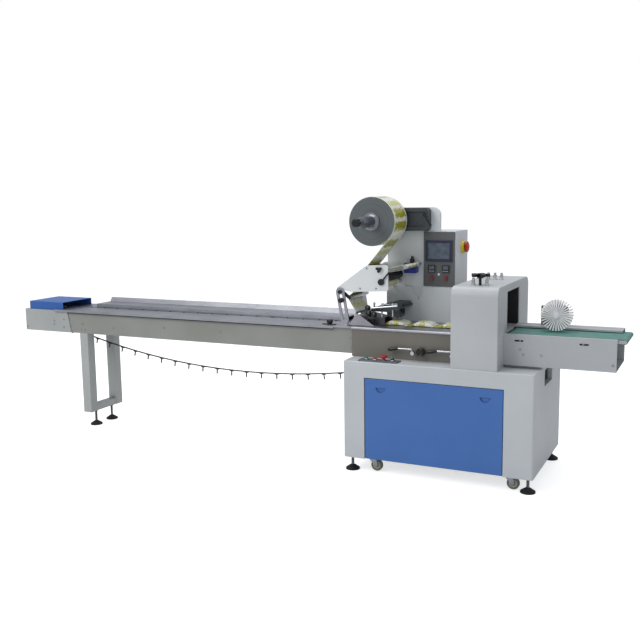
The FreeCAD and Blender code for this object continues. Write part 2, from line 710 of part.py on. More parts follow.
# ---- tail of the infeed -----------------------------------------------------------------------
def make_tail_frame():
    """Two long cheeks outside the side plates, joined by the end plate that the screw goes through."""
    outline = [(TAIL_LEFT, INFEED_BOTTOM), (TAIL_RIGHT_BOTTOM, INFEED_BOTTOM),
               (TAIL_RIGHT_TOP, INFEED_TOP), (TAIL_LEFT, INFEED_TOP)]
    front = plate_xz(outline, INFEED_FRONT - TAIL_SHEET, INFEED_FRONT)
    back = plate_xz(outline, INFEED_BACK, INFEED_BACK + TAIL_SHEET)
    end = box(TAIL_LEFT, TAIL_LEFT + TAIL_SHEET, INFEED_FRONT, INFEED_BACK, INFEED_BOTTOM, INFEED_TOP)
    lid = box(TAIL_LEFT, INFEED_LEFT - SEAT_GAP, INFEED_FRONT, INFEED_BACK,
              INFEED_TOP - TAIL_SHEET / 2, INFEED_TOP)
    slot = pusher_slot(TAIL_SPROCKET_X - SPROCKET_RADIUS - PUSHER_LENGTH, INFEED_LEFT, INFEED_TOP - TAIL_SHEET)
    return joined([front, back, end, lid.cut(slot)])


def make_tail_knob():
    z = (INFEED_BOTTOM + INFEED_TOP) / 2 + 14
    start = V(TAIL_LEFT, LANE_Y - 92, z)
    r, stem, end = TAIL_KNOB_RADIUS, TAIL_SCREW_LENGTH, TAIL_SCREW_LENGTH + TAIL_KNOB_LENGTH
    return turned([(0, 0), (TAIL_SCREW_RADIUS, 0), (TAIL_SCREW_RADIUS, stem), (r * 0.7, stem),
                   (r, stem + 6), (r, end - 8), (r * 0.7, end), (0, end)], start, V(-1, 0, 0))


def make_tail_sprocket():
    z = CHAIN_CARRY_Z - SPROCKET_RADIUS
    root = SPROCKET_RADIUS - CHAIN_HEIGHT / 2 - SEAT_GAP
    disc = rod_y(TAIL_SPROCKET_X, z, root, LANE_Y - SPROCKET_WIDTH / 2, LANE_Y + SPROCKET_WIDTH / 2)
    shaft = rod_y(TAIL_SPROCKET_X, z, 10, INFEED_FRONT, INFEED_BACK)
    return joined([disc, shaft])


def make_tail_cover():
    """The blue bridge-shaped cover over the tail, open at both ends."""
    z0, z1 = INFEED_TOP + DECK_SHEET + 4 + SEAT_GAP, DECK_TOP + TAIL_COVER_HEIGHT
    y0, y1 = INFEED_FRONT - 1, INFEED_BACK - 38
    s = TAIL_COVER_SHEET
    outline = [(y0, z0), (y0 + s, z0), (y0 + s, z1 - s), (y1 - s, z1 - s), (y1 - s, z0), (y1, z0),
               (y1, z1), (y0, z1)]
    hood = plate_yz(outline, TAIL_COVER_LEFT, TAIL_COVER_RIGHT, [0, 0, 0, 0, 0, 0, 4, 4])
    left_end = box(TAIL_COVER_LEFT, TAIL_COVER_LEFT + s, y0 + s, y1 - s, z0, z1 - s)
    feet = [box(TAIL_COVER_LEFT, INFEED_LEFT - 2, y, y + 20, INFEED_TOP, z0)
            for y in (y0 + 1, y1 - 20)]
    return joined([hood, left_end] + feet)


# ---- lug chain --------------------------------------------------------------------------------
def pusher(x, z, slope, length):
    """One finger of the chain, square to the strand and pointing away from the loop's inside."""
    half = PUSHER_THICKNESS / 2
    finger = box(-half, half, LANE_Y - PUSHER_WIDTH / 2, LANE_Y + PUSHER_WIDTH / 2, 0, length)
    foot = box(-PUSHER_FOOT, 0, LANE_Y - PUSHER_WIDTH / 2, LANE_Y + PUSHER_WIDTH / 2, 0,
               PUSHER_THICKNESS)
    shape = finger.fuse(foot)
    shape.rotate(V(0, LANE_Y, 0), V(0, 1, 0), slope)
    shape.translate(V(x, 0, z))
    return shape


def make_lug_chain_carry():
    """The carrying strand under the deck and its wrap round the tail sprocket."""
    half = CHAIN_HEIGHT / 2
    y0, y1 = LANE_Y - CHAIN_WIDTH / 2, LANE_Y + CHAIN_WIDTH / 2
    strand = box(TAIL_SPROCKET_X, SEAL_LEFT - SEAT_GAP, y0, y1, CHAIN_CARRY_Z - half,
                 CHAIN_CARRY_Z + half)
    centre_z = CHAIN_CARRY_Z - SPROCKET_RADIUS
    wrap = rod_y(TAIL_SPROCKET_X, centre_z, SPROCKET_RADIUS + half, y0, y1)
    wrap = wrap.cut(rod_y(TAIL_SPROCKET_X, centre_z, SPROCKET_RADIUS - half, y0 - 1, y1 + 1))
    wrap = wrap.common(box(TAIL_SPROCKET_X - 2 * SPROCKET_RADIUS, TAIL_SPROCKET_X, y0 - 1, y1 + 1,
                           centre_z - 2 * SPROCKET_RADIUS, centre_z + 2 * SPROCKET_RADIUS))
    pieces = [strand, wrap]
    reach = DECK_TOP + 4 - CHAIN_CARRY_Z - half
    x = SEAL_LEFT - PUSHER_PITCH
    while x > TAIL_SPROCKET_X + PUSHER_PITCH / 2:
        pieces.append(pusher(x, CHAIN_CARRY_Z + half, 0, reach))
        x -= PUSHER_PITCH
    return joined(pieces)


def make_lug_chain_return():
    """The strand that hangs back in a shallow sag under the conveyor, with its pushers."""
    half = CHAIN_HEIGHT / 2
    y0, y1 = LANE_Y - CHAIN_WIDTH / 2, LANE_Y + CHAIN_WIDTH / 2
    left, right = TAIL_SPROCKET_X, CHAIN_SLOT_DEPTH
    stations = [left + (right - left) * i / 16 for i in range(17)]

    def strand_edge(offset):
        curve = Part.BSplineCurve()
        curve.interpolate([V(x, y0, chain_height(x) + offset) for x in stations])
        return curve.toShape()

    upper, lower = strand_edge(half), strand_edge(-half)
    ends = [Part.LineSegment(V(x, y0, chain_height(x) - half), V(x, y0, chain_height(x) + half)).toShape()
            for x in (left, right)]
    outline = Part.Wire(Part.__sortEdges__([upper, ends[1], lower, ends[0]]))
    pieces = [Part.Face(outline).extrude(V(0, y1 - y0, 0))]
    x = SEAL_LEFT - PUSHER_PITCH / 2
    while x > left + PUSHER_PITCH * 3:
        slope = math.degrees(math.atan(chain_height(x + 0.5) - chain_height(x - 0.5)))
        pieces.append(pusher(x, chain_height(x) - half + 0.8, 180 - slope, PUSHER_LENGTH))
        x -= PUSHER_PITCH
    return joined(pieces)


# ---- infeed stand -----------------------------------------------------------------------------
def make_stand():
    """Two square legs under the side plates and the low rail that ties them."""
    x0, x1 = STAND_LEFT, STAND_LEFT + STAND_TUBE
    y_front, y_back = INFEED_FRONT, INFEED_BACK
    front = box(x0, x1, y_front, y_front + STAND_TUBE, STAND_BOTTOM, INFEED_BOTTOM)
    back = box(x0, x1, y_back - STAND_TUBE, y_back, STAND_BOTTOM, INFEED_BOTTOM)
    rail = box(x0 + 4, x1 - 4, y_front, y_back, STAND_BOTTOM, STAND_BOTTOM + STAND_RAIL)
    return joined([front, back, rail])


# ---- fin-seal housing and table ---------------------------------------------------------------
def lever_pivots():
    right = END_LEFT - LEVER_TO_HOUSING
    return [right - LEVER_SPACING, right]


def make_seal_housing():
    """The closed drive housing of the fin-seal wheels, bored for the levers and the knob."""
    body = box(SEAL_LEFT, SEAL_RIGHT, SEAL_FRONT, SEAL_BACK, CABINET_TOP, SEAL_TOP)
    body = rounded_edges(body, 3, lambda e: runs_along(e, V(0, 0, 1)) and e.BoundBox.YMax < SEAL_FRONT + 1)
    bores = [rod_y(x, LEVER_PIVOT_Z, LEVER_ROD_RADIUS + RUNNING_FIT, SEAL_FRONT - 1,
                   SEAL_FRONT + LEVER_BORE_DEPTH) for x in lever_pivots()]
    bores.append(rod_y(KNOB_X, KNOB_Z, KNOB_STEM_RADIUS + RUNNING_FIT, SEAL_FRONT - 1,
                       SEAL_FRONT + LEVER_BORE_DEPTH))
    return without(body, bores)


def make_seal_table():
    """The stainless top with a dropped front edge and the slot that the fin of film runs in."""
    front = SEAL_FRONT - TABLE_LIP
    outline = [(front, SEAL_TOP - 6), (SEAL_FRONT - SEAT_GAP, SEAL_TOP - 6),
               (SEAL_FRONT - SEAT_GAP, SEAL_TOP), (SEAL_BACK, SEAL_TOP), (SEAL_BACK, TABLE_TOP),
               (front + 5, TABLE_TOP), (front, TABLE_TOP - 5)]
    table = plate_yz(outline, SEAL_LEFT, SEAL_RIGHT)
    slot = box(FIN_SLOT_LEFT, FIN_SLOT_RIGHT, LANE_Y - FIN_SLOT / 2, LANE_Y + FIN_SLOT / 2,
               SEAL_TOP - 1, TABLE_TOP + 1)
    return table.cut(slot)


def make_pull_lever(pivot_x):
    """A bent rod: shaft out of the housing, up, then left to an inclined black grip."""
    y = SEAL_FRONT - LEVER_STANDOUT
    shaft = rod_y(pivot_x, LEVER_PIVOT_Z, LEVER_ROD_RADIUS, y, SEAL_FRONT + LEVER_BORE_DEPTH - 1)
    hub = rod_y(pivot_x, LEVER_PIVOT_Z, LEVER_HUB_RADIUS, y - 6, y + 6)
    elbow = V(pivot_x - 6, y, LEVER_PIVOT_Z + LEVER_RISE)
    rise = rod_between(V(pivot_x, y, LEVER_PIVOT_Z), elbow, LEVER_ROD_RADIUS)
    grip_start = elbow.add(V(-LEVER_REACH, 0, 0))
    rod = rod_between(elbow, grip_start, LEVER_ROD_RADIUS)
    elbow_ball = Part.makeSphere(LEVER_ROD_RADIUS, elbow)
    along = V(-LEVER_GRIP_LENGTH, 0, -LEVER_GRIP_DROP)
    r = LEVER_GRIP_RADIUS
    grip = turned([(0, -4), (r * 0.62, -4), (r * 0.8, 4), (r, 18), (r, along.Length - 6),
                   (r * 0.7, along.Length), (0, along.Length)], grip_start, along)
    return joined([shaft, hub, rise, elbow_ball, rod, grip])


def make_adjusting_knob():
    """The ribbed black knob between the levers, on its own stem."""
    front = SEAL_FRONT - KNOB_STEM_LENGTH - KNOB_LENGTH
    stem = rod_y(KNOB_X, KNOB_Z, KNOB_STEM_RADIUS, front + 1, SEAL_FRONT + LEVER_BORE_DEPTH - 1)
    r = KNOB_RADIUS
    body = turned([(0, 0), (r, 0), (r, KNOB_LENGTH - 7), (r - 5, KNOB_LENGTH), (r * 0.5, KNOB_LENGTH - 2),
                   (0, KNOB_LENGTH - 2)], V(KNOB_X, front + KNOB_LENGTH, KNOB_Z), V(0, -1, 0))
    flutes = []
    for i in range(12):
        angle = math.radians(30 * i)
        flutes.append(rod_y(KNOB_X + (r + 1.5) * math.cos(angle), KNOB_Z + (r + 1.5) * math.sin(angle), 3,
                            front - 1, front + KNOB_LENGTH + 1))
    return joined([without(body, flutes), stem])


# ---- push-button station ------------------------------------------------------------------------
def make_button_plate():
    x0, x1 = BUTTON_PLATE_LEFT, BUTTON_PLATE_LEFT + BUTTON_PLATE_LENGTH
    y0, y1 = BUTTON_PLATE_FRONT, BUTTON_PLATE_FRONT + BUTTON_PLATE_DEPTH
    plate = box(x0, x1, y0, y1, CABINET_TOP, CABINET_TOP + BUTTON_PLATE_HEIGHT)
    return plate.makeChamfer(2.5, [e for e in plate.Edges
                                   if e.BoundBox.ZMin > CABINET_TOP + BUTTON_PLATE_HEIGHT - 1])


def make_push_buttons():
    """Four controls in a row: two push buttons, the mushroom stop and a key switch."""
    y = BUTTON_PLATE_FRONT + BUTTON_PLATE_DEPTH / 2
    z = CABINET_TOP + BUTTON_PLATE_HEIGHT
    r = BUTTON_RADIUS
    first = BUTTON_PLATE_LEFT + (BUTTON_PLATE_LENGTH - 3 * BUTTON_PITCH) / 2
    controls = []
    for i in range(4):
        x = first + i * BUTTON_PITCH
        ring = [(0, 0), (r + 3, 0), (r + 3, 4), (r, 6), (r, BUTTON_HEIGHT), (0, BUTTON_HEIGHT)]
        if i == 2:
            ring = [(0, 0), (r + 3, 0), (r + 3, 4), (r - 2, 6), (r - 2, BUTTON_HEIGHT),
                    (MUSHROOM_RADIUS, BUTTON_HEIGHT + 3), (MUSHROOM_RADIUS, BUTTON_HEIGHT + 8),
                    (MUSHROOM_RADIUS - 6, BUTTON_HEIGHT + MUSHROOM_HEIGHT),
                    (0, BUTTON_HEIGHT + MUSHROOM_HEIGHT + 1)]
        controls.append(turned(ring, V(x, y, z), V(0, 0, 1)))
    return Part.makeCompound(controls)


# ---- film reel --------------------------------------------------------------------------------
def make_film_roll():
    roll = rod_y(REEL_X, REEL_Z, REEL_RADIUS, FILM_FRONT, FILM_BACK)
    roll = roll.makeChamfer(1.0, [e for e in roll.Edges if isinstance(e.Curve, Part.Circle)])
    return roll.cut(rod_y(REEL_X, REEL_Z, REEL_CORE_RADIUS, FILM_FRONT - 1, FILM_BACK + 1))


def make_reel_shaft():
    """Shaft, core mandrel, clamping flange, tapered nut and the black hand knob's metal neck."""
    nut_back = FILM_FRONT - REEL_FLANGE_THICKNESS
    nut_front = nut_back - REEL_HUB_LENGTH
    knob_back = nut_front - REEL_NECK_LENGTH
    inside = FILM_BACK - FILM_FRONT
    r = REEL_HUB_RADIUS
    profile = [(0, -REEL_HUB_LENGTH - REEL_NECK_LENGTH), (REEL_SHAFT_RADIUS * 0.8, -REEL_HUB_LENGTH - REEL_NECK_LENGTH),
               (REEL_SHAFT_RADIUS * 0.8, -REEL_HUB_LENGTH), (r * 0.86, -REEL_HUB_LENGTH),
               (r, -REEL_HUB_LENGTH * 0.72), (r, -10), (REEL_CORE_RADIUS, 0),
               (REEL_FLANGE_RADIUS, 0), (REEL_FLANGE_RADIUS, REEL_FLANGE_THICKNESS),
               (REEL_CORE_RADIUS - SEAT_GAP, REEL_FLANGE_THICKNESS),
               (REEL_CORE_RADIUS - SEAT_GAP, REEL_FLANGE_THICKNESS + inside - 4),
               (REEL_SHAFT_RADIUS, REEL_FLANGE_THICKNESS + inside),
               (REEL_SHAFT_RADIUS, BRACKET_FRONT + REEL_BORE_DEPTH - 2 - nut_back),
               (0, BRACKET_FRONT + REEL_BORE_DEPTH - 2 - nut_back)]
    return turned(profile, V(REEL_X, nut_back, REEL_Z), V(0, 1, 0))


def make_reel_knob():
    """The black hand knob at the free end of the reel shaft, with four shallow lobes."""
    back = FILM_FRONT - REEL_FLANGE_THICKNESS - REEL_HUB_LENGTH - REEL_NECK_LENGTH
    r = REEL_KNOB_RADIUS
    body = turned([(0, 0), (r * 0.75, 0), (r, 5), (r, REEL_KNOB_LENGTH - 5), (r * 0.75, REEL_KNOB_LENGTH),
                   (0, REEL_KNOB_LENGTH)], V(REEL_X, back, REEL_Z), V(0, -1, 0))
    cuts = []
    for i in range(6):
        angle = math.radians(60 * i + 30)
        cuts.append(rod_y(REEL_X + (r + 5) * math.cos(angle), REEL_Z + (r + 5) * math.sin(angle), 8,
                          back - REEL_KNOB_LENGTH - 1, back + 1))
    return without(body, cuts)


def make_reel_bracket():
    """The dark cast bracket on the back plate that carries the reel shaft and its side-shift screw."""
    top = PLATE_TOP - BRACKET_TOP_GAP
    block = box(BRACKET_LEFT, BRACKET_RIGHT, BRACKET_FRONT, PLATE_FRONT, BRACKET_BOTTOM, top)
    block = block.makeChamfer(BRACKET_CHAMFER, [e for e in block.Edges if runs_along(e, V(0, 1, 0))])
    bore = rod_y(REEL_X, REEL_Z, REEL_SHAFT_RADIUS + RUNNING_FIT, BRACKET_FRONT - 1,
                 BRACKET_FRONT + REEL_BORE_DEPTH)
    pocket_right = BRACKET_RIGHT - POCKET_MARGIN
    pocket = box(pocket_right - POCKET_LENGTH, pocket_right, BRACKET_FRONT - 1,
                 BRACKET_FRONT + POCKET_DEPTH, BRACKET_BOTTOM + POCKET_MARGIN, top - POCKET_MARGIN)
    return without(block, [bore, pocket])


def make_bracket_lever():
    """The black ratchet lever that locks the reel bracket's side shift."""
    hub_x, hub_z = BRACKET_RIGHT - 12, REEL_Z + 30
    hub = rod_y(hub_x, hub_z, 12, BRACKET_FRONT - 22, BRACKET_FRONT)
    handle = rod_between(V(hub_x, BRACKET_FRONT - 16, hub_z), V(hub_x + 36, BRACKET_FRONT - 24, hub_z - 58), 6)
    return joined([hub, handle])


# ---- back plate, base and control column --------------------------------------------------------
def make_column_base():
    """The lower film-drive housing, with a raised front cover that has one bevelled corner."""
    body = box(PLATE_LEFT, COLUMN_LEFT, PLATE_FRONT, COLUMN_BACK, CABINET_TOP, BASE_TOP)
    right = COLUMN_LEFT
    cover = plate_xz([(PLATE_LEFT, CABINET_TOP), (right, CABINET_TOP),
                      (right, BASE_TOP - BASE_COVER_CHAMFER_Z),
                      (right - BASE_COVER_CHAMFER_X, BASE_TOP), (PLATE_LEFT, BASE_TOP)],
                     COLUMN_FRONT, PLATE_FRONT)
    return joined([body, cover])


def make_back_plate():
    """The tall light plate that carries the reel bracket and the film carriage."""
    notch = BASE_TOP - BASE_COVER_CHAMFER_Z
    outline = [(PLATE_LEFT, BASE_TOP), (COLUMN_LEFT, BASE_TOP), (COLUMN_LEFT + SEAT_GAP, notch + 4),
               (BOX_LEFT - SEAT_GAP, BASE_TOP + 2), (BOX_LEFT - SEAT_GAP, BOX_TOP + SEAT_GAP),
               (PLATE_RIGHT, BOX_TOP + SEAT_GAP), (PLATE_RIGHT, PLATE_TOP), (PLATE_LEFT, PLATE_TOP)]
    radii = [0, 0, 0, 0, 0, 0, PLATE_CORNER, 8]
    return plate_xz(outline, PLATE_FRONT, PLATE_FRONT + PLATE_THICKNESS, radii)


def make_control_column():
    """The narrow column: a wider foot with a bevelled shoulder and the control box above it."""
    notch = BASE_TOP - BASE_COVER_CHAMFER_Z
    foot = plate_xz([(COLUMN_LEFT + SEAT_GAP, CABINET_TOP), (COLUMN_RIGHT, CABINET_TOP),
                     (COLUMN_RIGHT, BASE_TOP), (BOX_LEFT, BASE_TOP), (COLUMN_LEFT + SEAT_GAP, notch)],
                    COLUMN_FRONT, COLUMN_BACK)
    head = box(BOX_LEFT, BOX_RIGHT, COLUMN_FRONT + BOX_SETBACK, COLUMN_BACK, BASE_TOP, BOX_TOP)
    head = rounded_edges(head, 3, lambda e: e.BoundBox.ZMin > BOX_TOP - 1)
    return joined([foot, head])


def make_control_panel():
    """The dark face plate with its screen bezel, two temperature controllers and two switches."""
    x0, x1 = BOX_LEFT + PANEL_BORDER, BOX_RIGHT - PANEL_BORDER
    z0, z1 = BASE_TOP + PANEL_BORDER, BOX_TOP - PANEL_BORDER
    back = COLUMN_FRONT + BOX_SETBACK
    front = back - PANEL_THICKNESS
    middle = (x0 + x1) / 2
    pieces = [box(x0, x1, front, back, z0, z1)]
    screen_top = z1 - SCREEN_DROP
    bezel = box(middle - SCREEN_WIDTH / 2, middle + SCREEN_WIDTH / 2, front - SCREEN_PROUD, front,
                screen_top - SCREEN_HEIGHT, screen_top)
    b = SCREEN_BORDER
    recess = box(middle - SCREEN_WIDTH / 2 + b, middle + SCREEN_WIDTH / 2 - b, front - SCREEN_PROUD - 1,
                 front - SCREEN_PROUD + 2, screen_top - SCREEN_HEIGHT + b, screen_top - b)
    pieces.append(bezel.cut(recess))
    for side in (-0.5, 0.5):
        x = middle + side * CONTROLLER_SPACING
        c, w, h = CONTROLLER_SIZE / 2, SWITCH_WIDTH / 2, SWITCH_HEIGHT / 2
        pieces.append(box(x - c, x + c, front - CONTROLLER_PROUD, front,
                          z1 - CONTROLLER_DROP - c, z1 - CONTROLLER_DROP + c))
        pieces.append(box(x - w, x + w, front - SWITCH_PROUD, front,
                          z1 - SWITCH_DROP - h, z1 - SWITCH_DROP + h))
    return joined(pieces)


def make_emergency_stop():
    """Yellow collar and red mushroom on the right side of the control box."""
    r0, r1, r2 = STOP_BASE_RADIUS, STOP_STEM_RADIUS, STOP_CAP_RADIUS
    h0 = STOP_BASE_HEIGHT
    h1 = h0 + STOP_STEM_HEIGHT
    h2 = h1 + STOP_CAP_HEIGHT
    profile = [(0, 0), (r0, 0), (r0, h0 - 4), (r0 - 4, h0), (r1, h0), (r1, h1), (r2 - 4, h1), (r2, h1 + 4),
               (r2, h2 - 6), (r2 - 7, h2), (0, h2 + 2)]
    return turned(profile, V(BOX_RIGHT, STOP_Y, STOP_Z), V(1, 0, 0))


# ---- film carriage ------------------------------------------------------------------------------
def make_carriage_plates():
    """Front and rear cheek of the film carriage, between which the rollers turn."""
    outline = [CARRIAGE_TIP, CARRIAGE_BOTTOM_LEFT, CARRIAGE_BOTTOM_RIGHT, CARRIAGE_TOP_RIGHT,
               CARRIAGE_TOP_LEFT]
    radii = [8, CARRIAGE_CORNER, CARRIAGE_CORNER, CARRIAGE_CORNER, CARRIAGE_CORNER * 2]
    front, back = [plate_xz(outline, y, y + CARRIAGE_SHEET, radii)
                   for y in (CARRIAGE_FRONT, PLATE_FRONT - CARRIAGE_SHEET)]
    base_cover = box(PLATE_LEFT, COLUMN_LEFT, COLUMN_FRONT, PLATE_FRONT + 1, CABINET_TOP, BASE_TOP)
    return Part.makeCompound([front, back.cut(base_cover)])


def carriage_roller(spec, y0, y1, axle_y0, axle_y1):
    x, z, radius = spec
    return joined([rod_y(x, z, radius, y0, y1), rod_y(x, z, ROLLER_AXLE_RADIUS, axle_y0, axle_y1)])


def make_guide_rollers():
    """The bright rollers that the film runs over, with the cross rod that ties the cheeks."""
    inner_front = CARRIAGE_FRONT + CARRIAGE_SHEET
    inner_back = PLATE_FRONT - CARRIAGE_SHEET
    y0, y1 = inner_front + ROLLER_END_GAP, inner_back - ROLLER_END_GAP
    rollers = [carriage_roller(spec, y0, y1, inner_front, inner_back)
               for spec in (ENTRY_ROLLER, NIP_ROLLER, GUIDE_ROLLER, SPACER_ROD)]
    rollers.append(carriage_roller(TURN_ROLLER, y0, y1, y0 - 6, PLATE_FRONT))
    arm_front, arm_back = inner_front + ARM_THICKNESS, inner_back - ARM_THICKNESS
    rollers.append(rod_y(LOW_BAR[0], LOW_BAR[1], LOW_BAR[2], arm_front, arm_back))
    return Part.makeCompound(rollers)


def make_draw_roller():
    """The black rubber roller that pulls the film through the nip."""
    inner_front = CARRIAGE_FRONT + CARRIAGE_SHEET
    inner_back = PLATE_FRONT - CARRIAGE_SHEET
    return carriage_roller(DRAW_ROLLER, inner_front + ROLLER_END_GAP, inner_back - ROLLER_END_GAP,
                           inner_front, inner_back)


def make_carriage_arms():
    """The two black arms that hang the low bar under the carriage."""
    inner_front = CARRIAGE_FRONT + CARRIAGE_SHEET
    inner_back = PLATE_FRONT - CARRIAGE_SHEET
    low = (LOW_BAR[0], LOW_BAR[1])
    return Part.makeCompound([
        capsule_xz(ARM_PIVOT, low, ARM_HALF_WIDTH, inner_front, inner_front + ARM_THICKNESS),
        capsule_xz(ARM_PIVOT, low, ARM_HALF_WIDTH, inner_back - ARM_THICKNESS, inner_back)])


def carriage_post(y0, y1, foot_y0, foot_y1):
    """A slotted round-ended post on its foot strap."""
    post = capsule_xz(POST_TOP, POST_FOOT, POST_HALF_WIDTH, y0, y1)
    along = V(POST_FOOT[0] - POST_TOP[0], 0, POST_FOOT[1] - POST_TOP[1]).normalize()
    slot_top = (POST_TOP[0] + along.x * POST_SLOT_END, POST_TOP[1] + along.z * POST_SLOT_END)
    slot_end = (POST_FOOT[0] - along.x * POST_SLOT_END / 3, POST_FOOT[1] - along.z * POST_SLOT_END / 3)
    slot = capsule_xz(slot_top, slot_end, POST_SLOT_HALF_WIDTH, y0 - 1, y1 + 1)
    foot = box(POST_FOOT[0] - POST_FOOT_HALF_LENGTH, POST_FOOT[0] + POST_FOOT_HALF_LENGTH,
               foot_y0, foot_y1, DECK_TOP, DECK_TOP + POST_FOOT_SHEET)
    web = box(POST_FOOT[0] - 16, POST_FOOT[0] + 16, y0, y1, DECK_TOP, POST_FOOT[1] - 12)
    return joined([post.fuse([web, foot]).cut(slot)])


def make_carriage_posts():
    front = carriage_post(CARRIAGE_FRONT - POST_SHEET, CARRIAGE_FRONT,
                          CARRIAGE_FRONT - POST_FOOT_DEPTH, CARRIAGE_FRONT)
    back = carriage_post(PLATE_FRONT, PLATE_FRONT + POST_SHEET, PLATE_FRONT + POST_SHEET - POST_FOOT_DEPTH,
                         PLATE_FRONT + POST_SHEET)
    return Part.makeCompound([front, back])


def post_knob_centre():
    share = 0.3
    return (POST_TOP[0] + (POST_FOOT[0] - POST_TOP[0]) * share,
            POST_TOP[1] + (POST_FOOT[1] - POST_TOP[1]) * share)


def make_carriage_knobs():
    """Black knobs and small controls on the front cheek: post clamp, star knob and nip lever."""
    face = CARRIAGE_FRONT
    x, z = post_knob_centre()
    r, length = POST_KNOB_RADIUS, POST_KNOB_LENGTH
    clamp = turned([(0, 0), (r, 0), (r, length - 5), (r - 4, length), (0, length)],
                   V(x, face - POST_SHEET, z), V(0, -1, 0))
    star_x, star_z = 133.0, 1050.0
    lobes = [rod_y(star_x + 10 * math.cos(math.radians(a)), star_z + 10 * math.sin(math.radians(a)), 7,
                   face - 18, face - 6) for a in (30, 150, 270)]
    star = joined([rod_y(star_x, star_z, 8, face - 18, face)] + lobes)
    disc_x, disc_z = 143.0, 984.0
    disc = rod_y(disc_x, disc_z, 17, face - 10, face)
    lever = rod_between(V(disc_x, face - 7, disc_z), V(disc_x + 46, face - 9, disc_z + 52), 4)
    pivot = rod_y(POST_TOP[0], POST_TOP[1], 10, face - POST_SHEET - 9, face - POST_SHEET)
    return Part.makeCompound([clamp, star, joined([disc, lever]), pivot])


def make_film_sensor():
    """The blue register-mark reader on the back plate."""
    x1 = SENSOR_LEFT + SENSOR_LENGTH
    z1 = SENSOR_BOTTOM + SENSOR_HEIGHT
    body = box(SENSOR_LEFT, x1, PLATE_FRONT - SENSOR_DEPTH, PLATE_FRONT, SENSOR_BOTTOM, z1)
    return rounded_edges(body, 4, lambda e: runs_along(e, V(0, 1, 0)))


def make_sensor_knob():
    x = SENSOR_LEFT + SENSOR_LENGTH * 0.6
    r, h = SENSOR_KNOB_RADIUS, SENSOR_KNOB_HEIGHT
    return turned([(0, 0), (r, 0), (r, h * 0.55), (r * 0.6, h * 0.7), (r * 0.5, h), (0, h)],
                  V(x, PLATE_FRONT - SENSOR_DEPTH / 2, SENSOR_BOTTOM + SENSOR_HEIGHT), V(0, 0, 1))


# ---- film web -----------------------------------------------------------------------------------
def film_stations():
    """What the film touches in turn: centre, radius at the film's middle and the side it passes.
    The side is -1 where the film turns clockwise, seen from the front, and 1 where it turns back."""
    middle = SEAT_GAP + FILM_THICKNESS / 2
    peak = (FORMER_PEAK_X, FORMER_PEAK_Z + FORMER_RIDGE_RADIUS + middle)
    route = [((REEL_X, REEL_Z), REEL_RADIUS + middle, -1)]
    for (x, z, radius), side in ((ENTRY_ROLLER, 1), (TURN_ROLLER, -1), (DRAW_ROLLER, -1),
                                 (GUIDE_ROLLER, 1), (LOW_BAR, 1)):
        route.append(((x, z), radius + middle, side))
    route.append((peak, 0.0, 1))
    return route


def film_edges(offset, y):
    """Lines and arcs of the film's path, moved sideways by offset."""
    stations = [(V(c[0], 0, c[1]), r + side * offset, side) for c, r, side in film_stations()]
    runs = []
    for (c1, r1, s1), (c2, r2, s2) in zip(stations, stations[1:]):
        gap = c2.sub(c1)
        heading = math.atan2(gap.z, gap.x) + math.asin((s1 * r1 - s2 * r2) / gap.Length)
        right = V(math.sin(heading), 0, -math.cos(heading))
        runs.append((c1.add(right * (s1 * r1)), c2.add(right * (s2 * r2)), right))
    edges = []
    for i, (start, end, right) in enumerate(runs):
        lift = V(0, y, 0)
        edges.append(Part.LineSegment(start.add(lift), end.add(lift)).toShape())
        if i + 1 < len(runs):
            centre, radius, side = stations[i + 1]
            bisector = (right.add(runs[i + 1][2])) * side
            top = centre.add(bisector.normalize() * radius)
            edges.append(Part.Arc(end.add(lift), top.add(lift), runs[i + 1][0].add(lift)).toShape())
    return edges


def make_film_web():
    """The printed film from the reel over the rollers to the ridge of the forming box."""
    half = FILM_THICKNESS / 2
    inner, outer = film_edges(-half, FILM_FRONT), film_edges(half, FILM_FRONT)
    start = Part.LineSegment(inner[0].firstVertex().Point, outer[0].firstVertex().Point).toShape()
    end = Part.LineSegment(inner[-1].lastVertex().Point, outer[-1].lastVertex().Point).toShape()
    outline = Part.Wire(Part.__sortEdges__(inner + [end] + outer + [start]))
    return Part.Face(outline).extrude(V(0, FILM_WIDTH, 0))


# ---- forming box, press unit and film tube --------------------------------------------------------
def make_transition_plate():
    """The short stainless plate between the infeed deck and the table, slotted for the pushers."""
    plate = box(DECK_RIGHT + 2, SEAL_LEFT - SEAT_GAP, INFEED_FRONT - DECK_OVERHANG, TRANSITION_BACK,
                INFEED_TOP, DECK_TOP)
    return plate.cut(pusher_slot(DECK_RIGHT, SEAL_LEFT - PUSHER_SLOT, INFEED_TOP))


def former_wing(front):
    """One shoulder: a triangular plate that leans out towards its foot."""
    top_y = FILM_FRONT + 4
    foot_y = top_y - FORMER_FLARE
    points = [V(FORMER_LEFT, foot_y, TABLE_TOP + FORMER_SHEET), V(FORMER_TOE_X, foot_y, TABLE_TOP + FORMER_SHEET),
              V(FORMER_PEAK_X, top_y, FORMER_PEAK_Z)]
    wing = Part.Face(Part.makePolygon(points + points[:1])).extrude(V(0, FORMER_SHEET, 0))
    return wing if front else wing.mirror(V(0, LANE_Y, 0), V(0, 1, 0))


